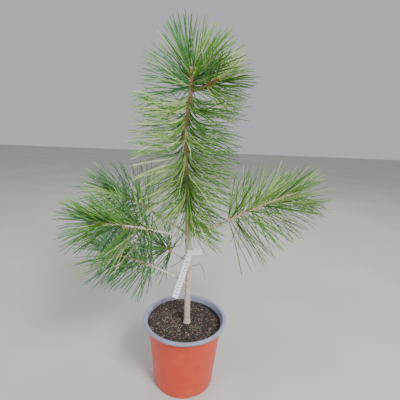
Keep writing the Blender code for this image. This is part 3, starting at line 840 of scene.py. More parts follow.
def scars(turn, along, radius, spacing, width):
    """Raised needle bases, set round a shoot by the golden angle and running down it."""
    best = np.zeros((len(along), len(turn)))
    for n in range(int(along[-1] / spacing) + 1):
        rows = np.abs(along - n * spacing) < SCAR_SPAN * width
        if not rows.any():
            continue
        apart = (turn - n * GOLDEN_ANGLE + math.pi) % math.tau - math.pi
        ahead = along[rows] - n * spacing
        reach = np.where(ahead > 0, SCAR_AHEAD, SCAR_BEHIND) * width
        bump = np.exp(-((apart[None] * radius[rows, None] / width) ** 2))
        best[rows] = np.maximum(best[rows], bump * np.exp(-((ahead / reach) ** 2))[:, None])
    return best


def rough(points):
    """Fractal noise at points, drawn out upwards."""
    flat = points.reshape(-1, 3) * BARK_GRAIN
    flat[:, 2] *= BARK_STRETCH
    values = [noise.fractal(Vector(p), *BARK_NOISE) for p in flat]
    return np.array(values).reshape(points.shape[:-1])


def add_bark(shape, limb, sides, step, depth, scar, spacing, reference, scars_from=0.0):
    """A limb with relief: fractal bark all along it, and needle scars past a distance."""
    count = max(int(limb.length / step), 4)
    along = np.linspace(0, limb.length, count + 1)
    line = np.array([[np.interp(d, limb.along, c) for c in limb.points.T] for d in along])
    way = units(np.gradient(line, axis=0))
    radius = np.interp(along, limb.along, limb.radii)
    turn = ring_turns(sides)
    across = units(np.cross(way, reference))
    over = np.cross(way, across)
    cosine, sine = np.cos(turn)[None, :, None], np.sin(turn)[None, :, None]
    spokes = across[:, None] * cosine + over[:, None] * sine
    skin = line[:, None] + spokes * radius[:, None, None]
    widths = radius[:, None] + depth * rough(skin)
    fade = np.clip((along - scars_from) / SCAR_FADE, 0, 1)[:, None]
    scar_width = SCAR_WIDENING * scar + SCAR_LEAST
    widths = widths + fade * scar * scars(turn, along, radius, spacing, scar_width)
    widths = np.maximum(widths, LEAST_WIDTH * radius[:, None])
    tip = line[-1:] + way[-1:] * radius[-1] * 0.5
    add_rods(shape, line[None], way[None], widths[None], tip, reference)


def add_scales(shape, limb, start, end, count, length, width, lift):
    """Pointed scales that overlap up a shoot, set round it by the golden angle."""
    for n in range(count):
        point, along, radius = limb.at(start + (end - start) * (n + 0.5) / count)
        outward = outward_from(along, n * GOLDEN_ANGLE)
        side = np.cross(along, outward) * width / 2
        base = point + outward * (radius - SCALE_SUNK)
        ridge = base + along * length * SCALE_RIDGE + outward * (SCALE_THICK + lift * 0.5)
        tip = base + along * length + outward * lift
        corners = (base - side, base + side, ridge, tip)
        shape.add(corners, [], [(0, 1, 2), (0, 2, 3), (2, 1, 3), (1, 0, 3)])


def add_bud(shape, foot, way, length, radius, scales):
    """A pointed bud: a swollen core in overlapping scales."""
    shares = np.linspace(0, 1, BUD_RINGS)
    points = foot + np.outer(shares * length, way)
    radii = np.maximum(radius * np.sin(math.pi * (0.16 + 0.82 * shares)) ** 0.8, 0.0002)
    limb = Limb(points, radii)
    widths = np.repeat(radii[None, :, None], BUD_SIDES, axis=2)
    ways = np.broadcast_to(way, (1, BUD_RINGS, 3))
    add_rods(shape, points[None], ways, widths, points[-1:] + way * ROD_POINT)
    add_scales(
        shape, limb, 0.0, length * 0.86, count=scales,
        length=length * 0.30, width=radius * 0.75, lift=radius * 0.30,
    )


class Bundle:
    """Needles that share a sheath, each a curve from the root past the fork to its tip."""

    def __init__(self, root, first, last, length, roll):
        self.root = root
        self.first = first
        self.fork = root + first * length * FORK_SHARE
        self.tips = []
        self.sides = []
        for needle in range(NEEDLES_IN_BUNDLE):
            turn = roll + (needle + 0.5) * math.tau / NEEDLES_IN_BUNDLE
            lean = outward_from(last, turn, BUNDLE_REFERENCE)
            way = unit(last + lean * math.tan(NEEDLE_SPREAD))
            reach = length * (1 - FORK_SHARE) * (1.0 - NEEDLE_SHORTER * needle)
            self.tips.append(self.fork + way * reach)
            self.sides.append(lean)

    def samples(self, shares):
        """Points along each of the needles."""
        shares = np.array(shares)[:, None]
        inner = self.root + (self.fork - self.root) * np.minimum(shares / FORK_SHARE, 1)
        past = np.maximum(shares - FORK_SHARE, 0) / (1 - FORK_SHARE)
        return np.concatenate([inner + (tip - self.fork) * past for tip in self.tips])


class Neighbours:
    """Limbs and the label as thick segments that needles keep clear of."""

    def __init__(self):
        self.starts = np.zeros((0, 3))
        self.ends = np.zeros((0, 3))
        self.thick = np.zeros((0, 2))

    def add(self, points, radii):
        points = np.array(points, float)
        self.starts = np.vstack([self.starts, points[:-1]])
        self.ends = np.vstack([self.ends, points[1:]])
        self.thick = np.vstack([self.thick, np.column_stack([radii[:-1], radii[1:]])])

    def touched(self, points):
        reach = self.ends - self.starts
        away = points[:, None] - self.starts[None]
        share = np.einsum("ijk,jk->ij", away, reach) / np.einsum("jk,jk->j", reach, reach)
        share = np.clip(share, 0, 1)
        gap = np.linalg.norm(away - share[..., None] * reach[None], axis=2)
        thick = self.thick[:, 0] * (1 - share) + self.thick[:, 1] * share
        return bool((gap < thick + NEEDLE_CLEARANCE).any())


class Sight:
    """Limbs that the photograph shows between the needles, as the camera sees them."""

    def __init__(self):
        self.ways = np.zeros((0, 3))
        self.far = np.zeros(0)
        self.room = np.zeros(0)

    def add(self, limb, spare=LIMB_SPARE):
        steps = int(limb.length / SIGHT_STEP) + 2
        ends = [limb.at(distance) for distance in np.linspace(0, limb.length, steps)]
        away = np.array([point for point, _, _ in ends]) - CAMERA_PLACE
        far = np.linalg.norm(away, axis=1)
        radii = np.array([radius for _, _, radius in ends])
        self.ways = np.vstack([self.ways, away / far[:, None]])
        self.far = np.concatenate([self.far, far])
        self.room = np.concatenate([self.room, (radii + spare) / far])

    def crossed(self, points):
        """Whether any of the points lies in front of a limb."""
        away = points - CAMERA_PLACE
        far = np.linalg.norm(away, axis=1)
        apart = np.linalg.norm((away / far[:, None])[:, None] - self.ways[None], axis=2)
        return bool(((apart < self.room[None]) & (far[:, None] < self.far[None])).any())


def turned_towards(direction, goal, angle):
    """The direction turned by an angle towards the goal."""
    side = goal - direction * (goal @ direction)
    return direction * math.cos(angle) + unit(side) * math.sin(angle)


def grow_bundles(
    name, stem, neighbours, sight, count, lean, curl, length, droop, seed, lowest=0.0, **_,
):
    """Bundles spaced round the stem by the golden angle, those that keep clear."""
    rng = random.Random(seed)
    low, high = (np.array(corner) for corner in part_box("needles_" + name))
    count = count * FINENESS
    margin = STEM_MARGIN / stem.length
    grown = []
    for k in range(count):
        for _attempt in range(TRIES):
            place = (k + 0.5 + rng.uniform(-PLACE_JITTER, PLACE_JITTER)) / count
            place = min(max(place, margin), 1 - margin)
            point, along, radius = stem.at(place * stem.length)
            turn = k * GOLDEN_ANGLE + rng.uniform(-TURN_JITTER, TURN_JITTER)
            outward = outward_from(along, turn)
            opened = np.interp(place, (0, 1), lean) - droop * outward[2]
            opened = math.radians(opened + rng.uniform(-LEAN_JITTER, LEAN_JITTER))
            first = along * math.cos(opened) + outward * math.sin(opened)
            bend = np.interp(place, (0, 1), curl) + rng.uniform(-CURL_JITTER, CURL_JITTER)
            last = turned_towards(first, along, math.radians(bend))
            aside = math.radians(rng.uniform(-SIDE_JITTER, SIDE_JITTER))
            last = turned_towards(last, np.cross(first, along), aside)
            size = NEEDLE_LENGTH * np.interp(place, (0, 1), length) * rng.uniform(*LENGTH_JITTER)
            root = point + outward * (radius - ROOT_SINK)
            bundle = Bundle(root, first, last, size, rng.uniform(0, math.tau))
            tips = np.array(bundle.tips)
            kept_in = (tips > low - REACH_SLACK).all() and (tips < high + REACH_SLACK).all()
            if not kept_in or (tips[:, 2] + LOWEST_SLOPE * tips[:, 0] < lowest).any():
                continue
            if neighbours.touched(bundle.samples(CLEAR_SHARES)):
                continue
            if rng.random() > CROSSING_SHARE and sight.crossed(bundle.samples(SIGHT_SHARES)):
                continue
            grown.append((bundle, outward, place))
            break
    return grown


def pick_tint(rng, tints, outward):
    """A spray's colour, by its mass's shares and a little bluer towards the left, where the blue
    tint paints shade.
    """
    # painted shade: the blue tint grows more likely towards the left
    lean = {"blue": 1 - BLUER_PAINTED_SHADE_LEFT * outward[0], "fresh": 1 + FRESHER_RIGHT * outward[0]}
    weights = [share * lean.get(tint, 1.0) for tint, share in tints.items()]
    return rng.choices(list(tints), weights)[0]


def add_needles(shape, starts, middles, ends, thick=NEEDLE_THICK):
    """Three-sided needles that bend at a middle point, bow a little and end in a point."""
    starts, middles, ends = (np.array(a, float)[:, None, :] for a in (starts, middles, ends))
    near = starts + (middles - starts) * BEND_FROM
    far = middles + (ends - middles) * BEND_TO
    bend = np.linspace(0, 1, BEND_RINGS)[None, :, None]
    outer = np.array(OUTER_SHARES)[None, :, None]
    bow = np.linalg.norm(ends - far, axis=2, keepdims=True) * BOW * 4 * outer * (1 - outer)
    bent = near * (1 - bend) ** 2 + 2 * middles * bend * (1 - bend) + far * bend**2
    straight = far + (ends - far) * outer + bow * np.array([0, 0, 1.0])
    line = np.concatenate([starts, bent, straight], axis=1)
    way = np.concatenate(
        [middles - starts, (middles - near) * (1 - bend) + (far - middles) * bend,
         np.repeat(ends - far, len(OUTER_SHARES), axis=1)],
        axis=1,
    )
    profile = thick * np.array(NEEDLE_PROFILE)
    widths = np.broadcast_to(profile[None, :, None], (len(starts), len(profile), 3))
    add_rods(shape, line, units(way), widths, ends[:, 0])


def add_sheaths(shape, bundles):
    """The papery sleeve round the foot of each bundle."""
    roots = np.array([bundle.root - bundle.first * SHEATH_SUNK for bundle in bundles])
    firsts = np.array([bundle.first for bundle in bundles])
    shares = np.array(SHEATH_SHARES)
    line = roots[:, None] + firsts[:, None] * (shares * SHEATH_LENGTH)[None, :, None]
    way = np.repeat(firsts[:, None], len(shares), axis=1)
    profile = SHEATH_THICK * np.array(SHEATH_PROFILE)
    widths = np.broadcast_to(profile[None, :, None], (len(roots), len(shares), SHEATH_SIDES))
    add_rods(shape, line, way, widths, line[:, -1] + firsts * ROD_POINT)


def make_mass(name, bundles, tints, seed, finishes):
    """A mass's needles, one piece for each colour, and their sheaths."""
    rng = random.Random(seed + TINT_SEED)
    sprays = {tint: ([], [], []) for tint in tints}
    for bundle, outward, _ in bundles:
        starts, middles, ends = sprays[pick_tint(rng, tints, outward)]
        for tip, side in zip(bundle.tips, bundle.sides):
            sag = np.array([0, 0, -rng.uniform(0.0, SAG)])
            starts.append(bundle.root + bundle.first * START_ALONG + side * START_APART)
            middles.append(bundle.fork + side * rng.uniform(0.0, FORK_APART))
            ends.append(tip + sag)
    node = "needles_" + name
    for tint, (starts, middles, ends) in sprays.items():
        if starts:
            shape = Shape()
            add_needles(shape, starts, middles, ends)
            keep(shape.piece(f"{node}_{tint}", finishes[tint]), "needles", node)
    young_from = math.inf if name.startswith("trunk") else YOUNG_FROM
    sleeves = {
        "sheath": [bundle for bundle, _, place in bundles if place < young_from],
        "young": [bundle for bundle, _, place in bundles if place >= young_from],
    }
    for kind, chosen in sleeves.items():
        if chosen:
            shape = Shape()
            add_sheaths(shape, chosen)
            keep(shape.piece(f"{kind}_{name}", finishes[kind]), "needles", node)


def revolve(profile, sides):
    """A closed solid turned from a loop of (radius, height) points."""
    shape = Shape()
    profile = np.array(profile, float)
    turn = ring_turns(sides)
    ring = np.stack([np.cos(turn), np.sin(turn)], axis=1)
    points = np.concatenate(
        [np.column_stack([ring * radius, np.full(sides, height)]) for radius, height in profile]
    )
    shape.add(points, ring_quads(len(profile), sides, closed=True), [])
    return shape


def arc(middle, radius, start, end, steps):
    """Points on an arc in the profile's plane, angles in degrees."""
    angles = np.radians(np.linspace(start, end, steps))
    return [(middle[0] + radius * math.cos(a), middle[1] + radius * math.sin(a)) for a in angles]


def wall_radius(height):
    """The pot's outer radius below its collar."""
    share = height / (POT_HEIGHT - COLLAR_HEIGHT)
    return FOOT_RADIUS + (NECK_RADIUS - FOOT_RADIUS) * share


def make_pot():
    """The terracotta coloured outer skin with its drain notches, and the grey lining with painted
    shade below its inner ledge.
    """
    step = POT_HEIGHT - COLLAR_HEIGHT
    rim_foot = POT_HEIGHT - RIM_DEPTH
    edge = COLLAR_RADIUS - SKIN
    levels = np.linspace(step - 0.0022, 0.0055, 10)
    outside = [
        (edge, rim_foot - LINING_GAP),
        (COLLAR_RADIUS, rim_foot - LINING_GAP),
        (COLLAR_RADIUS - 0.0001, step + 0.0010),
        (COLLAR_RADIUS - 0.0006, step + 0.0002),
        (NECK_RADIUS + 0.0004, step - 0.0008),
        *[(wall_radius(z), z) for z in levels],
        (wall_radius(0.0026), 0.0026),
        *arc((FOOT_RADIUS - 0.0020, FOOT_ROUND), FOOT_ROUND, -10, -90, 5),
        (FOOT_RADIUS * 0.5, 0.0),
        (AXIS_RADIUS, 0.0),
        (AXIS_RADIUS, SKIN),
        (FOOT_RADIUS - 0.0026, SKIN),
        *[(wall_radius(z) - SKIN, z) for z in levels[::-1]],
        (edge - 0.0002, step + 0.0008),
    ]
    terracotta = pot_plastic("terracotta_plastic", (0.66, 0.054, 0.021), (0.74, 0.100, 0.048), 0.33)
    skin = revolve(outside, POT_SIDES).piece("pot_outside", terracotta, smooth=True, turn_out=True)
    cutters = []
    depth = RIM_RADIUS - DRAIN_INNER
    middle = DRAIN_INNER + depth / 2
    for index in range(DRAIN_COUNT):
        angle = math.tau * (index + DRAIN_TURN) / DRAIN_COUNT
        bpy.ops.mesh.primitive_cube_add(size=1.0)
        cutter = bpy.context.object
        cutter.scale = (depth, DRAIN_WIDTH, 2 * DRAIN_HEIGHT)
        cutter.location = (middle * math.cos(angle), middle * math.sin(angle), 0.0)
        cutter.rotation_euler = (0, 0, angle)
        change = skin.modifiers.new("Drain", "BOOLEAN")
        change.operation = "DIFFERENCE"
        change.object = cutter
        cutters.append(cutter)
    apply_modifiers(skin)
    for cutter in cutters:
        bpy.data.objects.remove(cutter, do_unlink=True)
    skin.data.set_sharp_from_angle(angle=OUTSIDE_SHARP)
    keep(skin, "pot_plastic", "pot")

    inner = COLLAR_RADIUS - POT_WALL
    inside = [
        (AXIS_RADIUS, SKIN + LINING_GAP),
        (FOOT_RADIUS - 0.0027, SKIN + LINING_GAP),
        *[(wall_radius(z) - SKIN - LINING_GAP, z) for z in levels[::-1]],
        (edge - 0.0003, step + 0.0010),
        (edge - 0.0001, rim_foot),
        (COLLAR_RADIUS + 0.0004, rim_foot),
        *arc((RIM_RADIUS - 0.0024, rim_foot + 0.0016), 0.0016, -90, -20, 4),
        (RIM_RADIUS - 0.0002, rim_foot + 0.0028),
        *arc((RIM_RADIUS - RIM_ROLL, POT_HEIGHT - RIM_ROLL), RIM_ROLL, 0, 90, 7),
        (inner + 0.0048, POT_HEIGHT - 0.0002),
        (inner + 0.0026, POT_HEIGHT - 0.0009),
        (inner + 0.0012, POT_HEIGHT - 0.0026),
        (inner + 0.0002, step + 0.0040),
        (inner - 0.0003, step + 0.0030),
        (NECK_RADIUS - POT_WALL + 0.0004, step + 0.0022),
        (NECK_RADIUS - POT_WALL, step + 0.0012),
        *[(wall_radius(z) - POT_WALL, z) for z in levels],
        (wall_radius(POT_FLOOR) - POT_WALL, POT_FLOOR),
        (AXIS_RADIUS, POT_FLOOR),
    ]
    # painted shade: the dark colour that the lining takes below the inner ledge, where the inside of
    # the pot is in shade
    dark = (0.055, 0.055, 0.085)
    grey = pot_plastic("grey_plastic_with_painted_shade", (0.270, 0.262, 0.370), (0.40, 0.39, 0.50), 0.34, dark)
    lining = revolve(inside, POT_SIDES).piece("pot_lining", grey, smooth=True, turn_out=True)
    lining.data.set_sharp_from_angle(angle=LINING_SHARP)
    keep(lining, "pot_plastic", "pot")


def apply_modifiers(piece):
    """Replace a piece's mesh by what its modifiers give, and remove them."""
    bpy.context.view_layer.update()
    evaluated = piece.evaluated_get(bpy.context.evaluated_depsgraph_get())
    mesh = bpy.data.meshes.new_from_object(evaluated)
    piece.modifiers.clear()
    piece.data = mesh


def smooth_step(value, low, high):
    """0 below low, 1 above high, with a smooth rise from one to the other."""
    share = min(max((value - low) / (high - low), 0.0), 1.0)
    return share * share * (3 - 2 * share)


def soil_level(x, y):
    """How high the soil lies: heaped at the left and the back, sunk at the right."""
    heaped = SOIL_HEAP * smooth_step((HEAP_SLANT * y - x) / SOIL_RADIUS, *HEAP_SPAN)
    sunk = SOIL_SINK * smooth_step((x - SINK_SLANT * y) / SOIL_RADIUS, *SINK_SPAN)
    foot_x, foot_y, _ = TRUNK_ROUTE[0]
    mound = MOUND_HEIGHT * math.exp(-(((x - foot_x) ** 2 + (y - foot_y) ** 2) / MOUND_REACH**2))
    spot = Vector((x * LUMP_SCALE, y * LUMP_SCALE, LUMP_LAYER))
    lumps = LUMP_HEIGHT * noise.fractal(spot, *LUMP_NOISE)
    return SOIL_TOP - SOIL_SETTLED + heaped + mound + lumps - sunk


def soil_edge(angle):
    """The soil's outer radius: where it is heaped it spreads over the pot's ledge."""
    level = soil_level(SOIL_RADIUS * math.cos(angle), SOIL_RADIUS * math.sin(angle))
    return SOIL_RADIUS + SOIL_SPREAD * smooth_step(level, *LEDGE_SPAN)


def soil_rings(shares, sides):
    """Points on the soil's top, ring by ring."""
    turn = ring_turns(sides)
    edges = [soil_edge(angle) for angle in turn]
    flat = [
        (share * edge * math.cos(angle), share * edge * math.sin(angle))
        for share in shares
        for angle, edge in zip(turn, edges)
    ]
    return [(x, y, soil_level(x, y)) for x, y in flat]


def seen_on_level(pixel, height):
    """The point at a height that a pixel of the photograph shows."""
    camera = bpy.context.scene.camera
    focal = CAMERA_LENS / CAMERA_SENSOR * PICTURE_SIDE
    across, down = (value - PICTURE_SIDE / 2 for value in pixel)
    way = camera.matrix_world.to_3x3() @ Vector((across, -down, -focal))
    start = Vector(CAMERA_PLACE)
    return start + way * ((height - start.z) / way.z)


def seen_on_soil(pixel):
    """The point of the soil that a pixel of the photograph shows."""
    point = seen_on_level(pixel, SOIL_TOP)
    for _step in range(LEVEL_STEPS):
        point = seen_on_level(pixel, soil_level(point.x, point.y))
    return point


def soil_body():
    """The soil: an uneven top on a plain plug."""
    shape = Shape()
    points = soil_rings(np.linspace(SOIL_HEART, 1.0, SOIL_RINGS), SOIL_SIDES)
    for radius, height in PLUG_RINGS:
        points += [
            (radius * math.cos(a), radius * math.sin(a), height) for a in ring_turns(SOIL_SIDES)
        ]
    points += [(0, 0, soil_level(0, 0)), (0, 0, PLUG_LOW)]
    last = (SOIL_RINGS + 1) * SOIL_SIDES
    top = fan(0, len(points) - 2, SOIL_SIDES)
    bottom = fan(last, len(points) - 1, SOIL_SIDES, turned=True)
    shape.add(points, ring_quads(SOIL_RINGS + 2, SOIL_SIDES), np.concatenate([top, bottom]))
    surface = soil_finish("damp_soil", (0.020, 0.016, 0.016), (0.075, 0.055, 0.050))
    return shape.piece("soil_bed", surface, smooth=True, turn_out=True)


def soil_sheet():
    """The soil's open top alone, for strewing grains on."""
    shape = Shape()
    points = soil_rings(np.linspace(*SHEET_SPAN, SHEET_RINGS), SHEET_SIDES)
    shape.add(points, ring_quads(SHEET_RINGS, SHEET_SIDES), [])
    return shape.piece("soil_sheet", None)


STREW_INPUTS = {
    "Density": "NodeSocketFloat",
    "Smallest": "NodeSocketFloat",
    "Largest": "NodeSocketFloat",
    "Tilt": "NodeSocketFloat",
    "Middle": "NodeSocketVector",
    "Reach": "NodeSocketFloat",
    "Seed": "NodeSocketInt",
    "Grain": "NodeSocketObject",
    "Surface": "NodeSocketMaterial",
}


def strewing_tree():
    """Geometry Nodes that strew a grain over a surface, thickest at a middle point."""
    tree = bpy.data.node_groups.new("strewing", "GeometryNodeTree")
    tree.interface.new_socket("Geometry", in_out="INPUT", socket_type="NodeSocketGeometry")
    for name, kind in STREW_INPUTS.items():
        tree.interface.new_socket(name, in_out="INPUT", socket_type=kind)
    tree.interface.new_socket("Geometry", in_out="OUTPUT", socket_type="NodeSocketGeometry")

    def node(kind, settings=None, sockets=None):
        return add_node(tree, kind, settings, sockets)

    given = node("NodeGroupInput").outputs
    place = node("GeometryNodeInputPosition").outputs[0]
    away = node("ShaderNodeVectorMath", {"operation": "DISTANCE"}, {0: place, 1: given["Middle"]})
    thinned = node(
        "ShaderNodeMapRange", {},
        {"Value": away.outputs["Value"], "From Min": 0.0, "From Max": given["Reach"],
         "To Min": given["Density"], "To Max": 0.0},
    )
    points = node(
        "GeometryNodeDistributePointsOnFaces", {},
        {"Mesh": given["Geometry"], "Density": thinned.outputs[0], "Seed": given["Seed"]},
    )
    tilt_back = node("ShaderNodeMath", {"operation": "MULTIPLY"}, {0: given["Tilt"], 1: -1.0})
    lowest = node("ShaderNodeCombineXYZ", {}, {0: tilt_back.outputs[0], 1: tilt_back.outputs[0]})
    highest = node("ShaderNodeCombineXYZ", {}, {0: given["Tilt"], 1: given["Tilt"], 2: math.tau})
    turn = node(
        "FunctionNodeRandomValue", {"data_type": "FLOAT_VECTOR"},
        {0: lowest.outputs[0], 1: highest.outputs[0], "Seed": given["Seed"]},
    )
    size = node(
        "FunctionNodeRandomValue", {"data_type": "FLOAT"},
        {2: given["Smallest"], 3: given["Largest"], "Seed": given["Seed"]},
    )
    grain = node("GeometryNodeObjectInfo", {}, {"Object": given["Grain"]})
    strewn = node(
        "GeometryNodeInstanceOnPoints", {},
        {"Points": points.outputs["Points"], "Instance": grain.outputs["Geometry"],
         "Rotation": turn.outputs[0], "Scale": size.outputs[1]},
    )
    real = node("GeometryNodeRealizeInstances", {}, {0: strewn.outputs[0]})
    dressed = node(
        "GeometryNodeSetMaterial", {}, {"Geometry": real.outputs[0], "Material": given["Surface"]},
    )
    node("NodeGroupOutput", {}, {0: dressed.outputs[0]})
    return tree


def strew(name, tree, ground, grain, surface, **values):
    """A piece of many grains on the ground, from the strewing nodes."""
    base = new_object(name, ground.data.copy())
    change = base.modifiers.new("Strewing", "NODES")
    change.node_group = tree
    values.update(Grain=grain, Surface=surface)
    for item in tree.interface.items_tree:
        if item.name in values:
            change[item.identifier] = values[item.name]
    apply_modifiers(base)
    return base


def crumb(name, seed, squash=1.0):
    """A rough lump about a unit across, to be strewn."""
    rng = random.Random(seed)
    work = bmesh.new()
    bmesh.ops.create_icosphere(work, subdivisions=1, radius=1.0)
    for corner in work.verts:
        corner.co *= rng.uniform(*CRUMB_SIZES)
        corner.co.z *= squash
    mesh = bpy.data.meshes.new(name)
    work.to_mesh(mesh)
    work.free()
    return new_object(name, mesh)


def strand(name, bend):
    """A bent fibre a unit long, to be strewn."""
    shape = Shape()
    add_needles(shape, [(-0.5, 0, 0)], [(0, bend, 0.12)], [(0.5, 0, 0.02)], thick=FIBRE_THICK)
    return shape.piece(name, None)


def make_soil():
    """The soil bed with its crumbs, fibres, bark chips, white grains and small weeds."""
    keep(soil_body(), "potting_soil", "soil")
    ground = soil_sheet()
    tree = strewing_tree()
    lump, chip = crumb("lump", 3), crumb("chip", 4, squash=CHIP_SQUASH)
    fibre = strand("fibre", FIBRE_BEND)
    everywhere = dict(Middle=(0, 0, SOIL_TOP), Reach=EVERYWHERE)
    mulch = dict(Middle=tuple(seen_on_soil(MULCH_PIXEL)), Reach=MULCH_REACH)
    dark = soil_finish("dark_crumbs", (0.018, 0.015, 0.015), (0.075, 0.056, 0.052), 1.6)
    brown = soil_finish("brown_crumbs", (0.070, 0.050, 0.046), (0.160, 0.115, 0.105), 1.6)
    straw = grainy_finish("fibres", (0.24, 0.155, 0.115), (0.42, 0.30, 0.22), 0.85, 300)
    rust = grainy_finish("bark_chips", (0.190, 0.110, 0.095), (0.330, 0.225, 0.200), 0.8, 350)
    white = grainy_finish("white_grains", (0.72, 0.71, 0.67), (0.90, 0.89, 0.86), 0.9, 500)
    dressed = {
        "soil_crumbs": (lump, dark, everywhere),
        "soil_brown_crumbs": (lump, brown, everywhere),
        "soil_mulch": (chip, rust, mulch),
        "soil_fibres": (fibre, straw, everywhere),
        "soil_chips": (chip, rust, everywhere),
        "soil_white_grains": (lump, white, everywhere),
    }
    for name, (grain, surface, where) in dressed.items():
        strewn = strew(name, tree, ground, grain, surface, **GRAINS[name], **where)
        keep(strewn, "potting_soil", "soil")
    for used in (ground, lump, chip, fibre):
        bpy.data.objects.remove(used, do_unlink=True)
    keep(make_weeds(), "needles")


def make_weeds():
    """Small green seedlings on the soil."""
    rng = random.Random(8)
    shape = Shape()
    for pixel in WEED_PIXELS:
        middle = seen_on_soil(pixel)
        for _sprout in range(WEED_SPROUTS):
            x = middle.x + rng.uniform(-WEED_SPREAD, WEED_SPREAD)
            y = middle.y + rng.uniform(-WEED_SPREAD, WEED_SPREAD)
            foot = np.array([x, y, soil_level(x, y) - WEED_SUNK])
            for _leaf in range(WEED_LEAVES):
                side = level_way(rng.uniform(0, math.tau))
                reach = rng.uniform(*WEED_LEAF)
                rise = np.array([0, 0, reach])
                bend = foot + side * reach * 0.4 + rise * 0.9
                end = foot + side * reach + rise * 0.8
                add_needles(shape, [foot], [bend], [end], thick=WEED_LEAF_THICK)
    green = needle_finish("weed_green", (0.075, 0.165, 0.055), (0.150, 0.260, 0.095))
    return shape.piece("weeds", green)


def make_trunk(trunk):
    """The trunk with its bark, the scaly candle below the buds, and the buds."""
    shape = Shape()
    fine = trunk.smoothed(TRUNK_CURVE_STEPS)
    points = np.vstack([fine.points[0] - np.array([0, 0, TRUNK_SUNK]), fine.points])
    radii = np.concatenate([[fine.radii[0] * TRUNK_FLARE], fine.radii])
    whole = Limb(points, radii)
    add_bark(shape, whole, scars_from=whole.at_height(SCARS_FROM), **TRUNK_BARK)
    grey, olive, rust = (0.80, 0.68, 0.59), (0.44, 0.36, 0.21), (0.56, 0.40, 0.28)
    bark = bark_finish("trunk_bark", grey, olive, rust, SCARS_FROM)
    keep(shape.piece("trunk_bark", bark, smooth=True), "bark", "trunk")

    candle = Shape()
    low, high = whole.at_height(CANDLE_FROM), whole.at_height(CANDLE_TO)
    add_scales(candle, whole, low, high, **CANDLE_SCALES)
    brown = grainy_finish("candle_scales", (0.070, 0.030, 0.018), (0.26, 0.125, 0.070), 0.75, 500)
    keep(candle.piece("candle_scales", brown, turn_out=True), "bark")

    buds = Shape()
    top, way, _ = whole.at(whole.length)
    foot = top - way * LEADER_BUD_SEAT
    add_bud(buds, foot, way, **LEADER_BUD)
    for index in range(SIDE_BUDS):
        side = level_way(index * math.tau / SIDE_BUDS + SIDE_BUD_TURN)
        place = foot + side * SIDE_BUD_OUT - way * SIDE_BUD_LOW
        add_bud(buds, place, unit(way + side * SIDE_BUD_LEAN), **SIDE_BUD)
    return buds


def dress_shoot(limb, tip, way, surface, buds):
    """The scales along the leader's side shoot, and the small buds round its tip."""
    scales = Shape()
    add_scales(scales, limb, SHOOT_SCALES_FROM, limb.length * SHOOT_SCALES_TO, **SHOOT_SCALES)
    keep(scales.piece("shoot_scales", surface, turn_out=True), "bough_bark")
    for turn in SHOOT_BUD_TURNS:
        lean = outward_from(way, turn, TIP_REFERENCE)
        foot = tip - way * SHOOT_BUD_OUT + lean * SHOOT_BUD_OUT
        add_bud(buds, foot, unit(way + lean * SHOOT_BUD_LEAN), **SHOOT_BUD)


def make_boughs(limbs, buds):
    """The boughs with their bark all the way to the tip buds."""
    brown = even_bark("bough_bark_brown", (0.64, 0.52, 0.42), (0.48, 0.27, 0.14))
    pale = even_bark("bough_bark_pale", (0.88, 0.79, 0.72), (0.66, 0.50, 0.40))
    scaly = even_bark("shoot_bark_orange", (0.34, 0.16, 0.065), (0.45, 0.22, 0.09))
    barks = dict(
        right=brown, left_front=pale, left_back=brown, left_low=pale, short=pale, top_right=scaly,
    )
    for name, limb in limbs.items():
        shape = Shape()
        fine = limb.smoothed(BOUGH_CURVE_STEPS)
        add_bark(shape, fine, **BOUGH_BARK)
        bark = shape.piece(f"bough_{name}_bark", barks[name], smooth=True)
        keep(bark, "bough_bark", "bough_" + name)
        tip, way, _ = limb.at(limb.length)
        add_bud(buds, tip - way * BOUGH_BUD_SEAT, way, **BOUGH_BUD)
        if name == "top_right":
            dress_shoot(fine, tip, way, scaly, buds)


def make_dead_twigs(trunk, neighbours):
    """The dead twigs, which needles keep clear of too."""
    dry = grainy_finish("dead_wood", (0.33, 0.26, 0.20), (0.20, 0.145, 0.10), 0.9, 400)
    for name, (azimuth, keys) in DEAD_TWIGS.items():
        limb = dead_twig_limb(trunk, azimuth, keys)
        shape = Shape()
        add_bark(shape, limb, **TWIG_BARK)
        keep(shape.piece(name + "_wood", dry, smooth=True), "dead_wood", name)
        neighbours.add(limb.points, limb.radii)


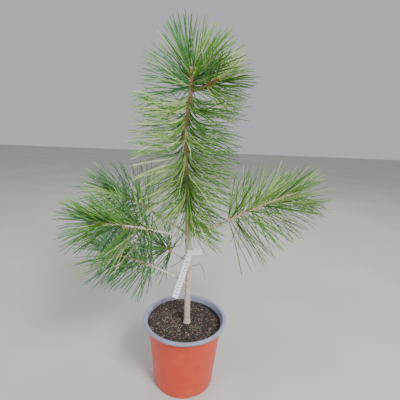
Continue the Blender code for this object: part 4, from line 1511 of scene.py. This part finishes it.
def make_label():
    """A finish for the strap label, and plain ticks in place of its print."""
    white = Finish("label_white", {"Roughness": 0.38})
    smudge = white.noise(120, detail=4).between(0.45, 0.75)
    white.colour(white.mix(smudge * 0.5, (0.95, 0.95, 0.94), (0.80, 0.79, 0.76)))
    white.relief(white.noise(500, detail=2), 0.00008)
    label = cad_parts["plant_label"]
    label.data.materials.clear()
    label.data.materials.append(white.material)

    shape = Shape()
    top, bottom = np.array(LABEL_STRAP)
    down = unit(bottom - top)
    forward = np.array([0, -1, 0])
    front = unit(forward - down * (forward @ down))
    side = np.cross(down, front)
    length = np.linalg.norm(bottom - top)
    lift = front * (LABEL_THICK / 2 + MARK_THICK)
    for index in range(MARK_COUNT):
        share = MARK_FROM + MARK_SPAN * index / (MARK_COUNT - 1)
        middle = top + down * length * share + lift
        half = side * MARK_LENGTH / 2 * (1.0 if index % LONG_MARK_EVERY == 0 else SHORT_MARK)
        thin = down * MARK_WIDTH / 2
        corners = [
            middle + a * half + b * thin - sunk * front
            for sunk in (MARK_THICK, 0.0)
            for a, b in ((-1, -1), (1, -1), (1, 1), (-1, 1))
        ]
        faces = [(3, 2, 1, 0), (4, 5, 6, 7), (0, 1, 5, 4), (1, 2, 6, 5), (2, 3, 7, 6), (3, 0, 4, 7)]
        shape.add(corners, faces, [])
    ink = grainy_finish("label_ticks", (0.025, 0.025, 0.030), (0.07, 0.07, 0.08), 0.6, 600)
    keep(shape.piece("label_ticks", ink, turn_out=True), "label_plastic")


def make_camera():
    """The camera at the place and angle of the photograph."""
    data = bpy.data.cameras.new("camera")
    data.lens = CAMERA_LENS
    data.sensor_width = CAMERA_SENSOR
    camera = new_object("camera", data)
    forward = Vector((
        math.sin(CAMERA_YAW) * math.cos(CAMERA_PITCH),
        math.cos(CAMERA_YAW) * math.cos(CAMERA_PITCH),
        -math.sin(CAMERA_PITCH),
    ))
    right = Vector((math.cos(CAMERA_YAW), -math.sin(CAMERA_YAW), 0.0))
    down = forward.cross(right)
    cosine, sine = math.cos(CAMERA_ROLL), math.sin(CAMERA_ROLL)
    right, down = right * cosine + down * sine, down * cosine - right * sine
    axes = Matrix((right, -down, -forward)).transposed().to_4x4()
    camera.matrix_world = Matrix.Translation(CAMERA_PLACE) @ axes
    bpy.context.scene.camera = camera
    bpy.context.view_layer.update()


def make_light(name, place, size, power):
    """A soft square light that points at the plant."""
    data = bpy.data.lights.new(name, "AREA")
    data.size = size
    data.energy = power
    light = new_object(name, data)
    light.location = place
    aim = Vector(LIGHT_AIM) - light.location
    light.rotation_mode = "QUATERNION"
    light.rotation_quaternion = aim.to_track_quat("-Z", "Y")


def make_studio():
    """A pale floor and soft light."""
    bpy.ops.mesh.primitive_plane_add(size=FLOOR_SIZE)
    floor = bpy.context.object
    floor.name = "floor"
    pale = Finish("pale_floor", {"Roughness": 0.85})
    cloud = pale.noise(3, detail=3).between(0.35, 0.70)
    pale.colour(pale.mix(cloud, (0.52, 0.515, 0.50), (0.57, 0.56, 0.545)))
    floor.data.materials.append(pale.material)
    for light in LIGHTS:
        make_light(*light)
    world = bpy.data.worlds.new("studio")
    world.use_nodes = True
    background = world.node_tree.nodes["Background"]
    background.inputs["Color"].default_value = SKY_COLOUR
    background.inputs["Strength"].default_value = SKY_STRENGTH
    bpy.context.scene.world = world


def make_plant():
    """Trunk, boughs and dead twigs, and the needles that grow on them."""
    trunk = trunk_limb()
    limbs = {name: bough_limb(trunk, **sizes) for name, sizes in BOUGHS.items()}
    neighbours = Neighbours()
    neighbours.add(trunk.points, trunk.radii)
    for limb in limbs.values():
        neighbours.add(limb.points[1:], limb.radii[1:])
    for band in (LABEL_STRAP, LABEL_HEAD):
        neighbours.add(band, np.full(2, STRAP_WIDTH / 2))
    make_dead_twigs(trunk, neighbours)
    sight = Sight()
    for limb in (trunk, *limbs.values()):
        sight.add(limb)
    sight.add(trunk.stretch(trunk.at_height(CANDLE_FROM), trunk.length), spare=BUD_SPARE)
    buds = make_trunk(trunk)
    make_boughs(limbs, buds)
    tan = grainy_finish("bud_scales", (0.52, 0.30, 0.20), (0.84, 0.68, 0.58), 0.6, 700)
    keep(buds.piece("buds", tan, turn_out=True), "bough_bark")

    finishes = {
        "fresh": needle_finish("needle_fresh", (0.085, 0.250, 0.022), (0.160, 0.360, 0.050)),
        # light: a pale yellow-green that also paints the highlights on sunlit needles
        "light": needle_finish("needle_pale_and_painted_highlight", (0.300, 0.450, 0.120), (0.470, 0.590, 0.240)),
        "deep": needle_finish("needle_deep", (0.035, 0.115, 0.016), (0.065, 0.180, 0.028)),
        # blue: a blue-green that is partly the needles' own colour and partly painted shade
        "blue": needle_finish("needle_blue_and_painted_shade", (0.055, 0.185, 0.065), (0.110, 0.280, 0.110)),
        "sheath": grainy_finish("needle_sheath", (0.38, 0.30, 0.10), (0.48, 0.34, 0.17), 0.6, 300),
        "young": grainy_finish("young_sheath", (0.46, 0.56, 0.04), (0.60, 0.62, 0.12), 0.5, 300),
    }
    stems = {
        name: trunk.stretch(trunk.at_height(sizes["low"]), trunk.at_height(sizes["high"]))
        for name, sizes in TRUNK_MASSES.items()
    }
    for name, limb in limbs.items():
        stems[name] = limb.stretch(BOUGHS[name]["bare"] * limb.length, limb.length)
    for name, sizes in {**TRUNK_MASSES, **BOUGH_MASSES}.items():
        bundles = grow_bundles(name, stems[name], neighbours, sight, **sizes)
        make_mass(name, bundles, sizes["tints"], sizes["seed"], finishes)


def main():
    """Make the whole scene."""
    for unused in [o for o in bpy.data.objects if o.type in ("LIGHT", "CAMERA")]:
        bpy.data.objects.remove(unused, do_unlink=True)
    make_camera()
    make_studio()
    make_pot()
    make_soil()
    make_plant()
    make_label()


main()
